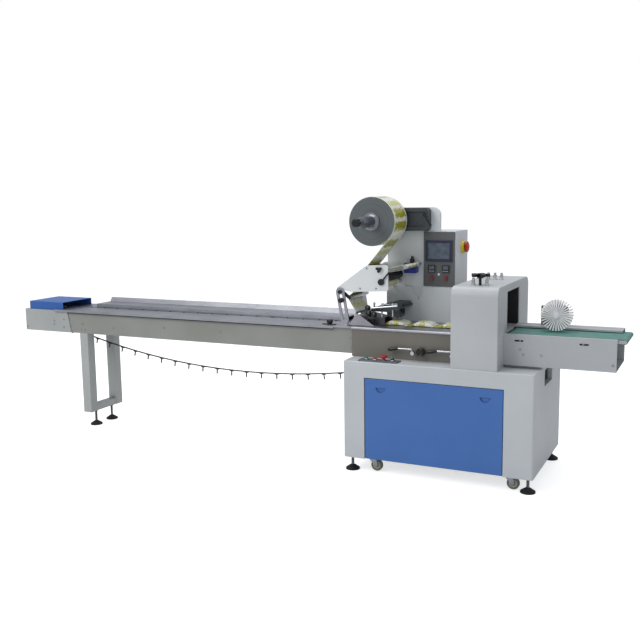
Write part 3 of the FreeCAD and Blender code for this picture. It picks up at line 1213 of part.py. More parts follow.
def make_film_former():
    """The forming box: base, two flared shoulders, the ridge rod and the tunnel for the product."""
    half = FORMER_TUNNEL_WIDTH / 2
    s = FORMER_SHEET
    base_half = FILM_WIDTH / 2 - 4 + FORMER_FLARE
    base = box(FORMER_LEFT, FORMER_RIGHT, LANE_Y - base_half, LANE_Y + base_half, TABLE_TOP, TABLE_TOP + s)
    tunnel = plate_yz([(LANE_Y - half, TABLE_TOP + s), (LANE_Y - half + s, TABLE_TOP + s),
                       (LANE_Y - half + s, FORMER_TUNNEL_TOP - s), (LANE_Y + half - s, FORMER_TUNNEL_TOP - s),
                       (LANE_Y + half - s, TABLE_TOP + s), (LANE_Y + half, TABLE_TOP + s),
                       (LANE_Y + half, FORMER_TUNNEL_TOP), (LANE_Y - half, FORMER_TUNNEL_TOP)],
                      FORMER_LEFT, FORMER_RIGHT)
    ridge = rod_y(FORMER_PEAK_X, FORMER_PEAK_Z, FORMER_RIDGE_RADIUS, FILM_FRONT, FILM_BACK)
    slope = plate_xz([(FORMER_PEAK_X, FORMER_PEAK_Z - 3), (FORMER_PEAK_X, FORMER_PEAK_Z),
                      (FORMER_TOE_X, FORMER_TUNNEL_TOP), (FORMER_TOE_X, FORMER_TUNNEL_TOP - 3)],
                     LANE_Y - half, LANE_Y + half)
    return joined([base, former_wing(True), former_wing(False), tunnel, ridge, slope])


def make_former_knobs():
    """Two black clamp knobs on the front shoulder of the forming box."""
    y = FILM_FRONT + 4 - FORMER_FLARE
    knobs = []
    for x in (52.0, 84.0):
        foot = V(x, y + 40, TABLE_TOP + FORMER_SHEET)
        knobs.append(turned([(0, 0), (7, 0), (7, 10), (13, 12), (13, 26), (9, 30), (0, 30)], foot, V(0, 0, 1)))
    return Part.makeCompound(knobs)


def make_press_unit():
    """The bracket over the film tube with its hangers, cross rods, press roller and handle rod."""
    bottom = PRESS_TOP - PRESS_SHEET
    arm = plate_xy([(PRESS_LEFT, PRESS_FRONT), (PRESS_RIGHT, PRESS_FRONT), (PRESS_RIGHT, COLUMN_FRONT),
                    (PRESS_LEFT, COLUMN_FRONT)], bottom, PRESS_TOP, [14, 14, 0, 0])
    slots = [box(x, x + 12, PRESS_FRONT + 34, PRESS_FRONT + 120, bottom - 1, PRESS_TOP + 1)
             for x in (PRESS_LEFT + 34, PRESS_RIGHT - 46)]
    roller_z = TABLE_TOP + PACK_HEIGHT + MOVING_GAP + PRESS_ROLLER_RADIUS
    hangers, y0, y1 = [], LANE_Y - 42, LANE_Y + 42
    for y in (y0, y1 - PRESS_SHEET):
        hangers.append(box(PRESS_LEFT + 60, PRESS_RIGHT - 8, y, y + PRESS_SHEET, roller_z - 4, bottom))
    rollers = [rod_y(x, roller_z, PRESS_ROLLER_RADIUS, y0 + PRESS_SHEET, y1 - PRESS_SHEET)
               for x in (PRESS_LEFT + 76, PRESS_RIGHT - 24)]
    rod_z = PRESS_TOP + 3 * PRESS_ROD_RADIUS
    handle = rod_between(V(PRESS_LEFT + 52, PRESS_FRONT - 34, rod_z),
                         V(PRESS_RIGHT - 15, PRESS_FRONT + 20, rod_z), PRESS_ROD_RADIUS)
    stay = box(PRESS_RIGHT - 26, PRESS_RIGHT - 4, PRESS_FRONT + 8, PRESS_FRONT + 32, PRESS_TOP - 1,
               rod_z + 2 * PRESS_ROD_RADIUS)
    return joined([without(arm, slots)] + hangers + rollers + [handle, stay])


def tube_section(x, width, height):
    """One cross-section of the film tube: a soft-cornered outline standing on the table."""
    middle_z = TABLE_TOP + SEAT_GAP + height / 2
    points = []
    for i in range(TUBE_SIDES):
        angle = 2 * math.pi * (i + 0.5) / TUBE_SIDES
        across, up = math.cos(angle), math.sin(angle)
        points.append(V(x, LANE_Y + width / 2 * math.copysign(abs(across) ** TUBE_SQUARENESS, across),
                        middle_z + height / 2 * math.copysign(abs(up) ** TUBE_SQUARENESS, up)))
    return Part.makePolygon(points + points[:1])


def make_film_tube():
    """The closed tube of film on the table, swollen where each product lies in it."""
    middle = TUBE_START + PACK_LENGTH / 2 + 8
    sections = [(TUBE_START, TUBE_WIDTH, PACK_HEIGHT * 0.8)]
    while middle + PACK_LENGTH / 2 < TUBE_END:
        for offset, height in ((-0.5, 0.62), (-0.36, 1.0), (0.36, 1.0), (0.5, 0.62)):
            sections.append((middle + offset * PACK_LENGTH, TUBE_WIDTH, PACK_HEIGHT * height))
        waist = middle + PACK_PITCH / 2
        if waist < TUBE_END - 10:
            sections.append((waist, TUBE_WIDTH * 1.04, TUBE_THIN))
        middle += PACK_PITCH
    sections = [s for s in sections if s[0] < TUBE_END - 4] + [(TUBE_END, TUBE_WIDTH, PACK_HEIGHT * 0.6)]
    return Part.makeLoft([tube_section(*s) for s in sections], True, True)


# ---- end-seal housing ---------------------------------------------------------------------------
def jaw_axis(upper):
    return JAW_MEET_Z + (JAW_SHAFT_RISE if upper else -JAW_SHAFT_RISE)


def make_end_housing():
    """The arch over the cutting jaws: two hollow-looking legs and a crown with rounded shoulders."""
    outline = [(END_FRONT, CABINET_TOP), (END_BACK, CABINET_TOP), (END_BACK, END_TOP), (END_FRONT, END_TOP)]
    body = plate_yz(outline, END_LEFT, END_RIGHT, [0, 0, END_RADIUS, END_RADIUS])
    body = rounded_edges(body, 4, lambda e: runs_along(e, V(0, 0, 1)))
    mouth = box(END_LEFT - 1, END_RIGHT + 1, TUNNEL_FRONT, TUNNEL_BACK, CABINET_TOP - 1, TUNNEL_TOP)
    cuts = [mouth]
    for upper in (False, True):
        cuts.append(rod_y(JAW_X, jaw_axis(upper), JAW_SHAFT_RADIUS + RUNNING_FIT,
                          TUNNEL_FRONT - JAW_BORE_DEPTH, TUNNEL_BACK + JAW_BORE_DEPTH))
    stem = HANDWHEEL_STEM_RADIUS + RUNNING_FIT
    cuts.append(rod_z(JAW_X, WHEEL_POST_Y, stem, END_TOP - 30, END_TOP + 1))
    body = without(body, cuts)
    bridges = [box(END_LEFT, END_LEFT + BRIDGE_LENGTH, TUNNEL_FRONT, TUNNEL_BACK, TABLE_TOP - BRIDGE_SHEET, TABLE_TOP),
               box(END_RIGHT - BRIDGE_LENGTH, END_RIGHT, TUNNEL_FRONT, TUNNEL_BACK,
                   OUT_TOP - BRIDGE_SHEET, OUT_TOP)]
    return joined([body] + bridges)


def make_jaw(upper):
    """A jaw shaft with two opposed sealing blocks, each with a serrated face, parked level."""
    z = jaw_axis(upper)
    y0, y1 = TUNNEL_FRONT - JAW_BORE_DEPTH + 1, TUNNEL_BACK + JAW_BORE_DEPTH - 1
    shaft = rod_y(JAW_X, z, JAW_SHAFT_RADIUS, y0, y1)
    tip = JAW_SHAFT_RISE - JAW_GAP / 2
    half = JAW_BLOCK_WIDTH / 2
    block = box(JAW_X - tip, JAW_X + tip, TUNNEL_FRONT + JAW_SIDE_GAP, TUNNEL_BACK - JAW_SIDE_GAP,
                z - half, z + half)
    rim = rod_y(JAW_X, z, tip, TUNNEL_FRONT, TUNNEL_BACK)
    grooves = []
    for side in (-1, 1):
        for i in range(-2, 3):
            grooves.append(box(JAW_X + side * tip - 1.5, JAW_X + side * tip + 1.5, TUNNEL_FRONT, TUNNEL_BACK,
                               z + i * 6 - 1, z + i * 6 + 1))
    return joined([shaft, without(block.common(rim), grooves)])


def make_spring_posts():
    """The bright spring sleeves and nuts on the crown, over the jaw bearings."""
    posts = []
    for y in (WHEEL_POST_Y, REAR_POST_Y):
        spots = (-POST_SPACING, POST_SPACING) if y == WHEEL_POST_Y else (-POST_SPACING, 0, POST_SPACING)
        for dx in spots:
            r, h = SPRING_POST_RADIUS, SPRING_POST_HEIGHT
            posts.append(turned([(0, 0), (r + 3, 0), (r + 3, 5), (r, 5), (r, h - 10), (r - 2, h - 10), (r - 2, h),
                                 (0, h)], V(JAW_X + dx, y, END_TOP), V(0, 0, 1)))
    return Part.makeCompound(posts)


def make_handwheel():
    """The lobed black handwheel of the jaw pressure screw."""
    z0 = END_TOP + HANDWHEEL_LIFT
    z1 = z0 + HANDWHEEL_THICKNESS
    pieces = [rod_z(JAW_X, WHEEL_POST_Y, HANDWHEEL_HUB_RADIUS, z0 - 8, z1),
              rod_z(JAW_X, WHEEL_POST_Y, HANDWHEEL_STEM_RADIUS, END_TOP - 28, z1)]
    reach = HANDWHEEL_RADIUS - HANDWHEEL_LOBE_RADIUS
    for i in range(HANDWHEEL_LOBES):
        angle = math.radians(360 * i / HANDWHEEL_LOBES + 18)
        tip = V(JAW_X + reach * math.cos(angle), WHEEL_POST_Y + reach * math.sin(angle), 0)
        pieces.append(rod_z(tip.x, tip.y, HANDWHEEL_LOBE_RADIUS, z0, z1 - 2))
        side = V(-math.sin(angle), math.cos(angle), 0) * (HANDWHEEL_LOBE_RADIUS * 0.7)
        hub = V(JAW_X, WHEEL_POST_Y, 0)
        corners = [hub.add(side), hub.sub(side), tip.sub(side), tip.add(side)]
        pieces.append(plate_xy([(c.x, c.y) for c in corners], z0, z1 - 4))
    return joined(pieces)


# ---- discharge conveyor -------------------------------------------------------------------------
def make_discharge_frame():
    """Folded side panels, the rear one raised with a wide top flange, and the closed underside."""
    x0, x1 = END_RIGHT, OUT_RIGHT
    front = side_channel(x0, x1, OUT_FRONT, 1, OUT_BOTTOM, OUT_TOP, OUT_SHEET, OUT_FLANGE)
    rear_top = OUT_TOP + OUT_REAR_RISE
    inner = OUT_BACK - OUT_SHEET
    rear = plate_yz([(OUT_BACK, OUT_BOTTOM), (OUT_BACK, rear_top), (OUT_BACK - OUT_REAR_FLANGE, rear_top),
                     (OUT_BACK - OUT_REAR_FLANGE, rear_top - OUT_SHEET), (inner, rear_top - OUT_SHEET),
                     (inner, OUT_BOTTOM)], x0, x1)
    under = box(x0, x1, OUT_FRONT + OUT_SHEET, inner, OUT_BOTTOM, OUT_BOTTOM + OUT_SHEET)
    slots = []
    for share in (0.14, 0.72):
        x = x0 + (x1 - x0) * share
        z = OUT_TOP - SLOT_DROP
        slots.append(capsule_xz((x - SLOT_LENGTH / 2, z), (x + SLOT_LENGTH / 2, z), SLOT_HEIGHT / 2,
                                OUT_FRONT - 1, OUT_FRONT + OUT_SHEET + 1))
    saddle = box(x0, CABINET_LENGTH, OUT_FRONT + 30, OUT_BACK - 30, CABINET_TOP, OUT_BOTTOM)
    return joined([without(front, slots), rear, under, saddle])


def belt_loop(radius, y0, y1):
    """A closed stadium round the two belt rollers."""
    z = OUT_TOP - BELT_THICKNESS - BELT_ROLLER_RADIUS
    return capsule_xz((BELT_LEFT, z), (BELT_RIGHT, z), radius, y0, y1)


def make_discharge_belt():
    inside = BELT_ROLLER_RADIUS + SEAT_GAP
    outer = belt_loop(BELT_ROLLER_RADIUS + BELT_THICKNESS, BELT_FRONT, BELT_BACK)
    return outer.cut(belt_loop(inside, BELT_FRONT - 1, BELT_BACK + 1))


def make_belt_bed():
    """The slider bed and the two rollers inside the belt, with the arms that carry the nose."""
    z = OUT_TOP - BELT_THICKNESS - BELT_ROLLER_RADIUS
    pieces = []
    start, end = BELT_LEFT + BELT_ROLLER_RADIUS + 4, BELT_RIGHT - BELT_ROLLER_RADIUS - 4
    pieces.append(box(start, OUT_RIGHT, OUT_FRONT + OUT_SHEET, OUT_BACK - OUT_SHEET, z - BED_HEIGHT / 2,
                      z + BED_HEIGHT / 2))
    pieces.append(box(OUT_RIGHT, end, BELT_FRONT, BELT_BACK, z - BED_HEIGHT / 2, z + BED_HEIGHT / 2))
    for x in (BELT_LEFT, BELT_RIGHT):
        pieces.append(rod_y(x, z, BELT_ROLLER_RADIUS, BELT_FRONT, BELT_BACK))
        for y in (BELT_FRONT - NOSE_ARM_THICKNESS, BELT_BACK):
            inner, outer = (start - 2, x) if x == BELT_LEFT else (x, OUT_RIGHT - 2)
            arm = capsule_xz((x, z), (start + 10 if x == BELT_LEFT else OUT_RIGHT - 10, z),
                             NOSE_ARM_HEIGHT / 2, y, y + NOSE_ARM_THICKNESS)
            pieces.append(arm)
    return joined(pieces)


def make_brush_wheel():
    """The soft brush rotor: a hub with thin radial blades, and its shaft to the bracket."""
    y1 = BRUSH_FRONT + BRUSH_WIDTH
    plate_front = OUT_BACK - OUT_REAR_FLANGE
    hub = rod_y(BRUSH_X, BRUSH_Z, BRUSH_HUB_RADIUS, BRUSH_FRONT - 4, y1)
    shaft = rod_y(BRUSH_X, BRUSH_Z, BRUSH_SHAFT_RADIUS, BRUSH_FRONT - 10,
                  plate_front + BRUSH_PLATE_THICKNESS - 1)
    blades = []
    half = BRUSH_BLADE_THICKNESS / 2
    for i in range(BRUSH_BLADES):
        blade = box(BRUSH_HUB_RADIUS - 2, BRUSH_RADIUS, BRUSH_FRONT, y1, -half, half)
        blade.rotate(V(0, 0, 0), V(0, 1, 0), 360 * i / BRUSH_BLADES)
        blade.translate(V(BRUSH_X, 0, BRUSH_Z))
        blades.append(blade)
    return joined([hub, shaft] + blades)


def make_brush_bracket():
    """The upright plate on the rear flange that carries the brush shaft, with its motor behind."""
    z0 = OUT_TOP + OUT_REAR_RISE
    y0 = OUT_BACK - OUT_REAR_FLANGE
    y1 = y0 + BRUSH_PLATE_THICKNESS
    plate = plate_xz([(BRUSH_PLATE_LEFT, z0), (BRUSH_PLATE_RIGHT, z0), (BRUSH_PLATE_RIGHT, BRUSH_PLATE_TOP),
                      (BRUSH_PLATE_LEFT, BRUSH_PLATE_TOP)], y0, y1, [0, 0, 10, 4])
    foot = box(BRUSH_PLATE_LEFT, BRUSH_PLATE_RIGHT, y1, OUT_BACK, z0, z0 + 5)
    motor = rod_y(BRUSH_X, BRUSH_Z, BRUSH_MOTOR_RADIUS, y1, y1 + BRUSH_MOTOR_LENGTH)
    bore = rod_y(BRUSH_X, BRUSH_Z, BRUSH_SHAFT_RADIUS + RUNNING_FIT, y0 - 1, y1)
    return without(joined([plate, foot, motor]), bore)


def make_clamp_knobs():
    """Every black hand knob and clamping lever that stays with the frame."""
    return Part.makeCompound([make_guide_clamp(), make_tail_knob(), make_bracket_lever(),
                              make_carriage_knobs(), make_sensor_knob(), make_former_knobs()])


# ---- the whole machine ----------------------------------------------------------------------------
def castor_spots():
    return {"front_left": (CASTOR_LEFT_X, CASTOR_INSET_Y),
            "front_right": (CASTOR_RIGHT_X, CASTOR_INSET_Y),
            "rear_left": (CASTOR_LEFT_X, CABINET_DEPTH - CASTOR_INSET_Y),
            "rear_right": (CASTOR_RIGHT_X, CABINET_DEPTH - CASTOR_INSET_Y)}


def all_pieces():
    pieces = {
        "cabinet_body": make_cabinet_body(),
        "door_panels": Part.makeCompound([make_door_panel(True), make_door_panel(False)]),
        "levelling_feet": make_levelling_feet(),
        "infeed_frame": make_infeed_sides(),
        "chain_track": make_chain_track(),
        "infeed_deck": make_infeed_deck(),
        "product_guide": make_product_guide(),
        "guide_rails": make_guide_rails(),
        "tail_frame": make_tail_frame(),
        "tail_sprocket": make_tail_sprocket(),
        "tail_cover": make_tail_cover(),
        "lug_chain_carry": make_lug_chain_carry(),
        "lug_chain_return": make_lug_chain_return(),
        "infeed_stand": make_stand(),
        "seal_housing": make_seal_housing(),
        "seal_table": Part.makeCompound([make_seal_table(), make_transition_plate()]),
        "adjusting_knob": make_adjusting_knob(),
        "button_plate": make_button_plate(),
        "push_buttons": make_push_buttons(),
        "film_roll": make_film_roll(),
        "reel_shaft": make_reel_shaft(),
        "reel_knob": make_reel_knob(),
        "reel_bracket": make_reel_bracket(),
        "column_base": make_column_base(),
        "back_plate": make_back_plate(),
        "control_column": make_control_column(),
        "control_panel": make_control_panel(),
        "emergency_stop": make_emergency_stop(),
        "carriage_plates": make_carriage_plates(),
        "guide_rollers": make_guide_rollers(),
        "draw_roller": make_draw_roller(),
        "carriage_arms": make_carriage_arms(),
        "carriage_posts": make_carriage_posts(),
        "film_sensor": make_film_sensor(),
        "film_web": make_film_web(),
        "film_former": make_film_former(),
        "clamp_knobs": make_clamp_knobs(),
        "press_unit": make_press_unit(),
        "film_tube": make_film_tube(),
        "end_seal_housing": make_end_housing(),
        "lower_jaw": make_jaw(False),
        "upper_jaw": make_jaw(True),
        "spring_posts": make_spring_posts(),
        "pressure_handwheel": make_handwheel(),
        "discharge_frame": make_discharge_frame(),
        "discharge_belt": make_discharge_belt(),
        "belt_bed": make_belt_bed(),
        "brush_wheel": make_brush_wheel(),
        "brush_bracket": make_brush_bracket(),
    }
    for i, pivot_x in enumerate(lever_pivots()):
        pieces[f"pull_lever_{i + 1}"] = make_pull_lever(pivot_x)
    for corner, (x, y) in castor_spots().items():
        pieces[f"castor_fork_{corner}"] = make_castor_fork(x, y)
        pieces[f"castor_wheel_{corner}"] = make_castor_wheel(x, y)
    return pieces


os.makedirs("parts", exist_ok=True)
for name, shape in all_pieces().items():
    shape.translate(V(-X_MIDDLE, -Y_MIDDLE, 0))
    shape.exportStep(f"parts/{name}.step")
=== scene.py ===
import json
import math

import bmesh
import bpy
from mathutils import Matrix, Vector, noise


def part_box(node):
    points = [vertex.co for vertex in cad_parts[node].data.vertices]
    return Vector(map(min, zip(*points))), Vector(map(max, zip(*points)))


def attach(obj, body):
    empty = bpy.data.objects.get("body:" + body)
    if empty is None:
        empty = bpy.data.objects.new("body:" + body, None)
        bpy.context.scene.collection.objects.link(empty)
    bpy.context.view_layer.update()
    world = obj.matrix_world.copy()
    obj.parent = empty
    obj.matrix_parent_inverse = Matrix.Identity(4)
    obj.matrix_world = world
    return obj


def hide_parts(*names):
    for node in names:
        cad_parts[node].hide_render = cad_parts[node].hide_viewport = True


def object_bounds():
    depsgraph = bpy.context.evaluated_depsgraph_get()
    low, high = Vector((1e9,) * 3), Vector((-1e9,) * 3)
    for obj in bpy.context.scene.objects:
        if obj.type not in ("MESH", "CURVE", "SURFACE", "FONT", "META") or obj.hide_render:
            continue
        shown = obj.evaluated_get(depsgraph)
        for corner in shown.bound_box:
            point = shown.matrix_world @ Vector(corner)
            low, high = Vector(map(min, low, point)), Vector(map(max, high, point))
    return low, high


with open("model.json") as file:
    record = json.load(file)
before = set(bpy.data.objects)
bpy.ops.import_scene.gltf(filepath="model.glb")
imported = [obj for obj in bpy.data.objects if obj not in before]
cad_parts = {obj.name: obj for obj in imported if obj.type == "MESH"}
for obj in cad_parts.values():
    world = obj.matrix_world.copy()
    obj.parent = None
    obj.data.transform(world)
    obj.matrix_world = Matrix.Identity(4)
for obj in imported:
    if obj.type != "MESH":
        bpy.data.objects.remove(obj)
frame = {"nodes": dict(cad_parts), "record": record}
cad_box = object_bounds()
nodes = frame["nodes"]
scene = bpy.context.scene
MM = 0.001

# ---- places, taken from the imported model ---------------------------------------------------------
cabinet_low, cabinet_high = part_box("cabinet_body")


def machine(x, y, z):
    """A point given in millimetres from the cabinet's front left corner on the floor, in metres."""
    return Vector((cabinet_low.x + x * MM, cabinet_low.y + y * MM, z * MM))


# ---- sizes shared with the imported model, in millimetres -------------------------------------------
PRINT_PITCH = 148.0
LANE_Y = 289.0
FILM_FRONT, FILM_BACK = 195.0, 383.0
REEL = (83.0, 1298.0)
ROLL_RADIUS = 128.8
ROLL_CORE = 38.0
TABLE_TOP = 748.0
FILM_STATIONS = [(83.0, 1298.0, 129.0, -1), (63.0, 1050.0, 14.0, 1), (268.0, 1064.0, 10.0, -1),
                 (150.0, 1006.0, 21.0, 1), (150.0, 969.4, 13.0, -1),
                  (20.0, 943.0, 12.0, 1), (-45.0, 893.0, 10.0, 1),
                 (-8.0, 817.0, 0.2, 1)]


# ---- camera, light and floor ---------------------------------------------------------------------
CAMERA_PLACE = machine(1784, -3932, 1438)
CAMERA_TURN = math.radians(25.95)
CAMERA_DROP = math.radians(8.37)
CAMERA_ROLL = math.radians(-0.81)
CAMERA_LENS = 47.7


def rgb(code):
    """An sRGB hex colour as the linear colour that shaders take."""
    parts = [int(code[i:i + 2], 16) / 255 for i in (0, 2, 4)]
    return (*[c / 12.92 if c <= 0.04045 else ((c + 0.055) / 1.055) ** 2.4 for c in parts], 1.0)


def add(tree, kind, inputs=None, **settings):
    """Adds a node with its settings; each input is a value or the socket that feeds it."""
    made = tree.nodes.new(kind)
    for key, value in settings.items():
        setattr(made, key, value)
    for key, value in (inputs or {}).items():
        if isinstance(value, bpy.types.NodeSocket):
            tree.links.new(value, made.inputs[key])
        else:
            made.inputs[key].default_value = value
    return made


def seen_directly(tree):
    """Gives 1 for rays straight from the camera or sent through glass, and 0 for all others."""
    path = add(tree, "ShaderNodeLightPath").outputs
    return add(tree, "ShaderNodeMath", {0: path["Is Camera Ray"], 1: path["Is Transmission Ray"]},
               operation="MAXIMUM").outputs[0]


def make_camera():
    camera = bpy.data.cameras.new("studio_camera")
    camera.lens = CAMERA_LENS
    camera.clip_end = 100
    holder = bpy.data.objects.new("studio_camera", camera)
    holder.matrix_world = (Matrix.Translation(CAMERA_PLACE) @ Matrix.Rotation(CAMERA_TURN, 4, "Z")
                           @ Matrix.Rotation(math.pi / 2 - CAMERA_DROP, 4, "X")
                           @ Matrix.Rotation(CAMERA_ROLL, 4, "Z"))
    scene.collection.objects.link(holder)
    scene.camera = holder


def make_world():
    world = bpy.data.worlds.new("studio")
    world.use_nodes = True
    tree = world.node_tree
    tree.nodes.clear()
    soft = add(tree, "ShaderNodeBackground", {"Color": rgb("F2F5FA"), "Strength": 0.58})
    white = add(tree, "ShaderNodeBackground", {"Color": rgb("FFFFFF"), "Strength": 1.0})
    mixed = add(tree, "ShaderNodeMixShader",
                {0: seen_directly(tree), 1: soft.outputs[0], 2: white.outputs[0]})
    add(tree, "ShaderNodeOutputWorld", {"Surface": mixed.outputs[0]})
    scene.world = world


def make_lamp(name, place, target, size, power):
    """A square softbox that faces the target."""
    light = bpy.data.lights.new(name, "AREA")
    light.size = size
    light.energy = power
    lamp = bpy.data.objects.new(name, light)
    lamp.location = place
    lamp.rotation_euler = (target - place).to_track_quat("-Z", "Y").to_euler()
    scene.collection.objects.link(lamp)


def make_floor():
    reach = 40.0
    mesh = bpy.data.meshes.new("studio_floor")
    mesh.from_pydata([(-reach, -reach, 0), (reach, -reach, 0), (reach, reach, 0), (-reach, reach, 0)], [],
                     [(0, 1, 2, 3)])
    floor = bpy.data.objects.new("studio_floor", mesh)
    scene.collection.objects.link(floor)
    material = bpy.data.materials.new("white_paper_floor")
    material.use_nodes = True
    tree = material.node_tree
    tree.nodes.clear()
    paper = add(tree, "ShaderNodeBsdfDiffuse", {"Color": rgb("E8E8E8")})
    lift = add(tree, "ShaderNodeEmission", {"Color": rgb("FFFFFF"), "Strength": 0.64})
    glow = add(tree, "ShaderNodeAddShader", {0: paper.outputs[0], 1: lift.outputs[0]})
    mixed = add(tree, "ShaderNodeMixShader",
                {0: seen_directly(tree), 1: paper.outputs[0], 2: glow.outputs[0]})
    add(tree, "ShaderNodeOutputMaterial", {"Surface": mixed.outputs[0]})
    mesh.materials.append(material)


# ---- materials -----------------------------------------------------------------------------------
class Finish:
    """A material being made: its tree, its coordinates in metres, its shader and its edge normal."""

    def __init__(self, name, **shader):
        self.material = bpy.data.materials.new(name)
        self.material.use_nodes = True
        self.tree = self.material.node_tree
        self.tree.nodes.clear()
        self.coords = add(self.tree, "ShaderNodeTexCoord").outputs["Object"]
        self.shader = add(self.tree, "ShaderNodeBsdfPrincipled", shader)
        add(self.tree, "ShaderNodeOutputMaterial", {"Surface": self.shader.outputs[0]})

    def noise(self, size_mm, detail=3.0, stretch=(1, 1, 1), vector=None):
        """Noise with blobs about size_mm across, drawn out along an axis by its stretch."""
        place = add(self.tree, "ShaderNodeMapping",
                    {"Vector": vector or self.coords, "Scale": [1 / s for s in stretch]})
        return add(self.tree, "ShaderNodeTexNoise", {"Vector": place.outputs[0], "Scale": 1 / (size_mm * MM),
                                                     "Detail": detail}).outputs["Fac"]

    def ramp(self, source, stops, interpolation="LINEAR"):
        """Maps a value to colours given as (position, hex) or to greys given as (position, number)."""
        node = add(self.tree, "ShaderNodeValToRGB", {"Fac": source})
        node.color_ramp.interpolation = interpolation
        marks = node.color_ramp.elements
        while len(marks) < len(stops):
            marks.new(0.5)
        for mark, (position, value) in zip(marks, stops):
            mark.position = position
            mark.color = rgb(value) if isinstance(value, str) else (value, value, value, 1)
        return node.outputs["Color"]

    def math(self, operation, first, second=0.0):
        return add(self.tree, "ShaderNodeMath", {0: first, 1: second}, operation=operation).outputs[0]

    def blend(self, share, first, second):
        """Mixes two colours; each is a hex value or a socket."""
        sides = {"Factor": share}
        node = add(self.tree, "ShaderNodeMix", sides, data_type="RGBA")
        for socket, value in ((node.inputs[6], first), (node.inputs[7], second)):
            if isinstance(value, str):
                socket.default_value = rgb(value)
            else:
                self.tree.links.new(value, socket)
        return node.outputs[2]

    def feed(self, socket, source):
        self.tree.links.new(source, self.shader.inputs[socket])

    def relief(self, height, depth_mm, edge_mm=0.0):
        """Bump of a real depth, over edges that look rounded by edge_mm."""
        inputs = {"Height": height, "Distance": depth_mm * MM}
        if edge_mm:
            inputs["Normal"] = self.edge(edge_mm)
        self.feed("Normal", add(self.tree, "ShaderNodeBump", inputs).outputs[0])

    def edge(self, edge_mm):
        return add(self.tree, "ShaderNodeBevel", {"Radius": edge_mm * MM}, samples=4).outputs[0]

    def wear(self, edge_mm):
        """1 along sharp edges, broken up by noise, 0 on the flats."""
        flat = add(self.tree, "ShaderNodeNewGeometry").outputs["Normal"]
        agreement = add(self.tree, "ShaderNodeVectorMath", {0: self.edge(edge_mm), 1: flat},
                        operation="DOT_PRODUCT").outputs["Value"]
        bend = self.math("SUBTRACT", 1.0, agreement)
        broken = self.math("MULTIPLY", bend, self.noise(9, 5))
        return self.ramp(broken, [(0.02, 0.0), (0.16, 1.0)])


def powder_coat(name, colour, shaded, worn, roughness=0.42):
    """Baked powder paint: a satin skin with fine orange peel, slightly uneven in tone."""
    finish = Finish(name, Roughness=roughness, IOR=1.5)
    tone = finish.blend(finish.ramp(finish.noise(260, 4), [(0.3, 0.0), (0.7, 1.0)]), colour, shaded)
    finish.feed("Base Color", finish.blend(finish.wear(1.2), tone, worn))
    finish.relief(finish.noise(1.6, 2), 0.03, 1.5)
    return finish.material


def brushed_metal(name, colour, shaded, along, roughness=(0.24, 0.42), line_mm=1.1):
    """Rolled or brushed metal: fine lines along one axis, over broad bands where it was handled."""
    finish = Finish(name, Metallic=1.0)
    stretch = [60 if axis == along else 1 for axis in "XYZ"]
    lines = finish.noise(line_mm, 4, stretch)
    bands = finish.noise(180, 3)
    lines_and_bands = finish.math("ADD", finish.math("MULTIPLY", lines, 0.6), finish.math("MULTIPLY", bands, 0.4))
    tone = finish.ramp(lines_and_bands,
                       [(0.35, shaded), (0.65, colour)])
    finish.feed("Base Color", tone)
    finish.feed("Roughness", finish.ramp(lines, [(0.3, roughness[0]), (0.7, roughness[1])]))
    finish.relief(lines, 0.01, 0.8)
    return finish.material


def moulded(name, colour, shaded, roughness=0.5, grain_mm=0.9, depth_mm=0.04):
    """Moulded plastic or rubber: a fine even grain with a little tone."""
    finish = Finish(name, Roughness=roughness, IOR=1.5)
    finish.feed("Base Color", finish.blend(finish.ramp(finish.noise(24, 4), [(0.35, 0.0), (0.65, 1.0)]),
                                           colour, shaded))
    finish.relief(finish.noise(grain_mm, 2), depth_mm)
    return finish.material


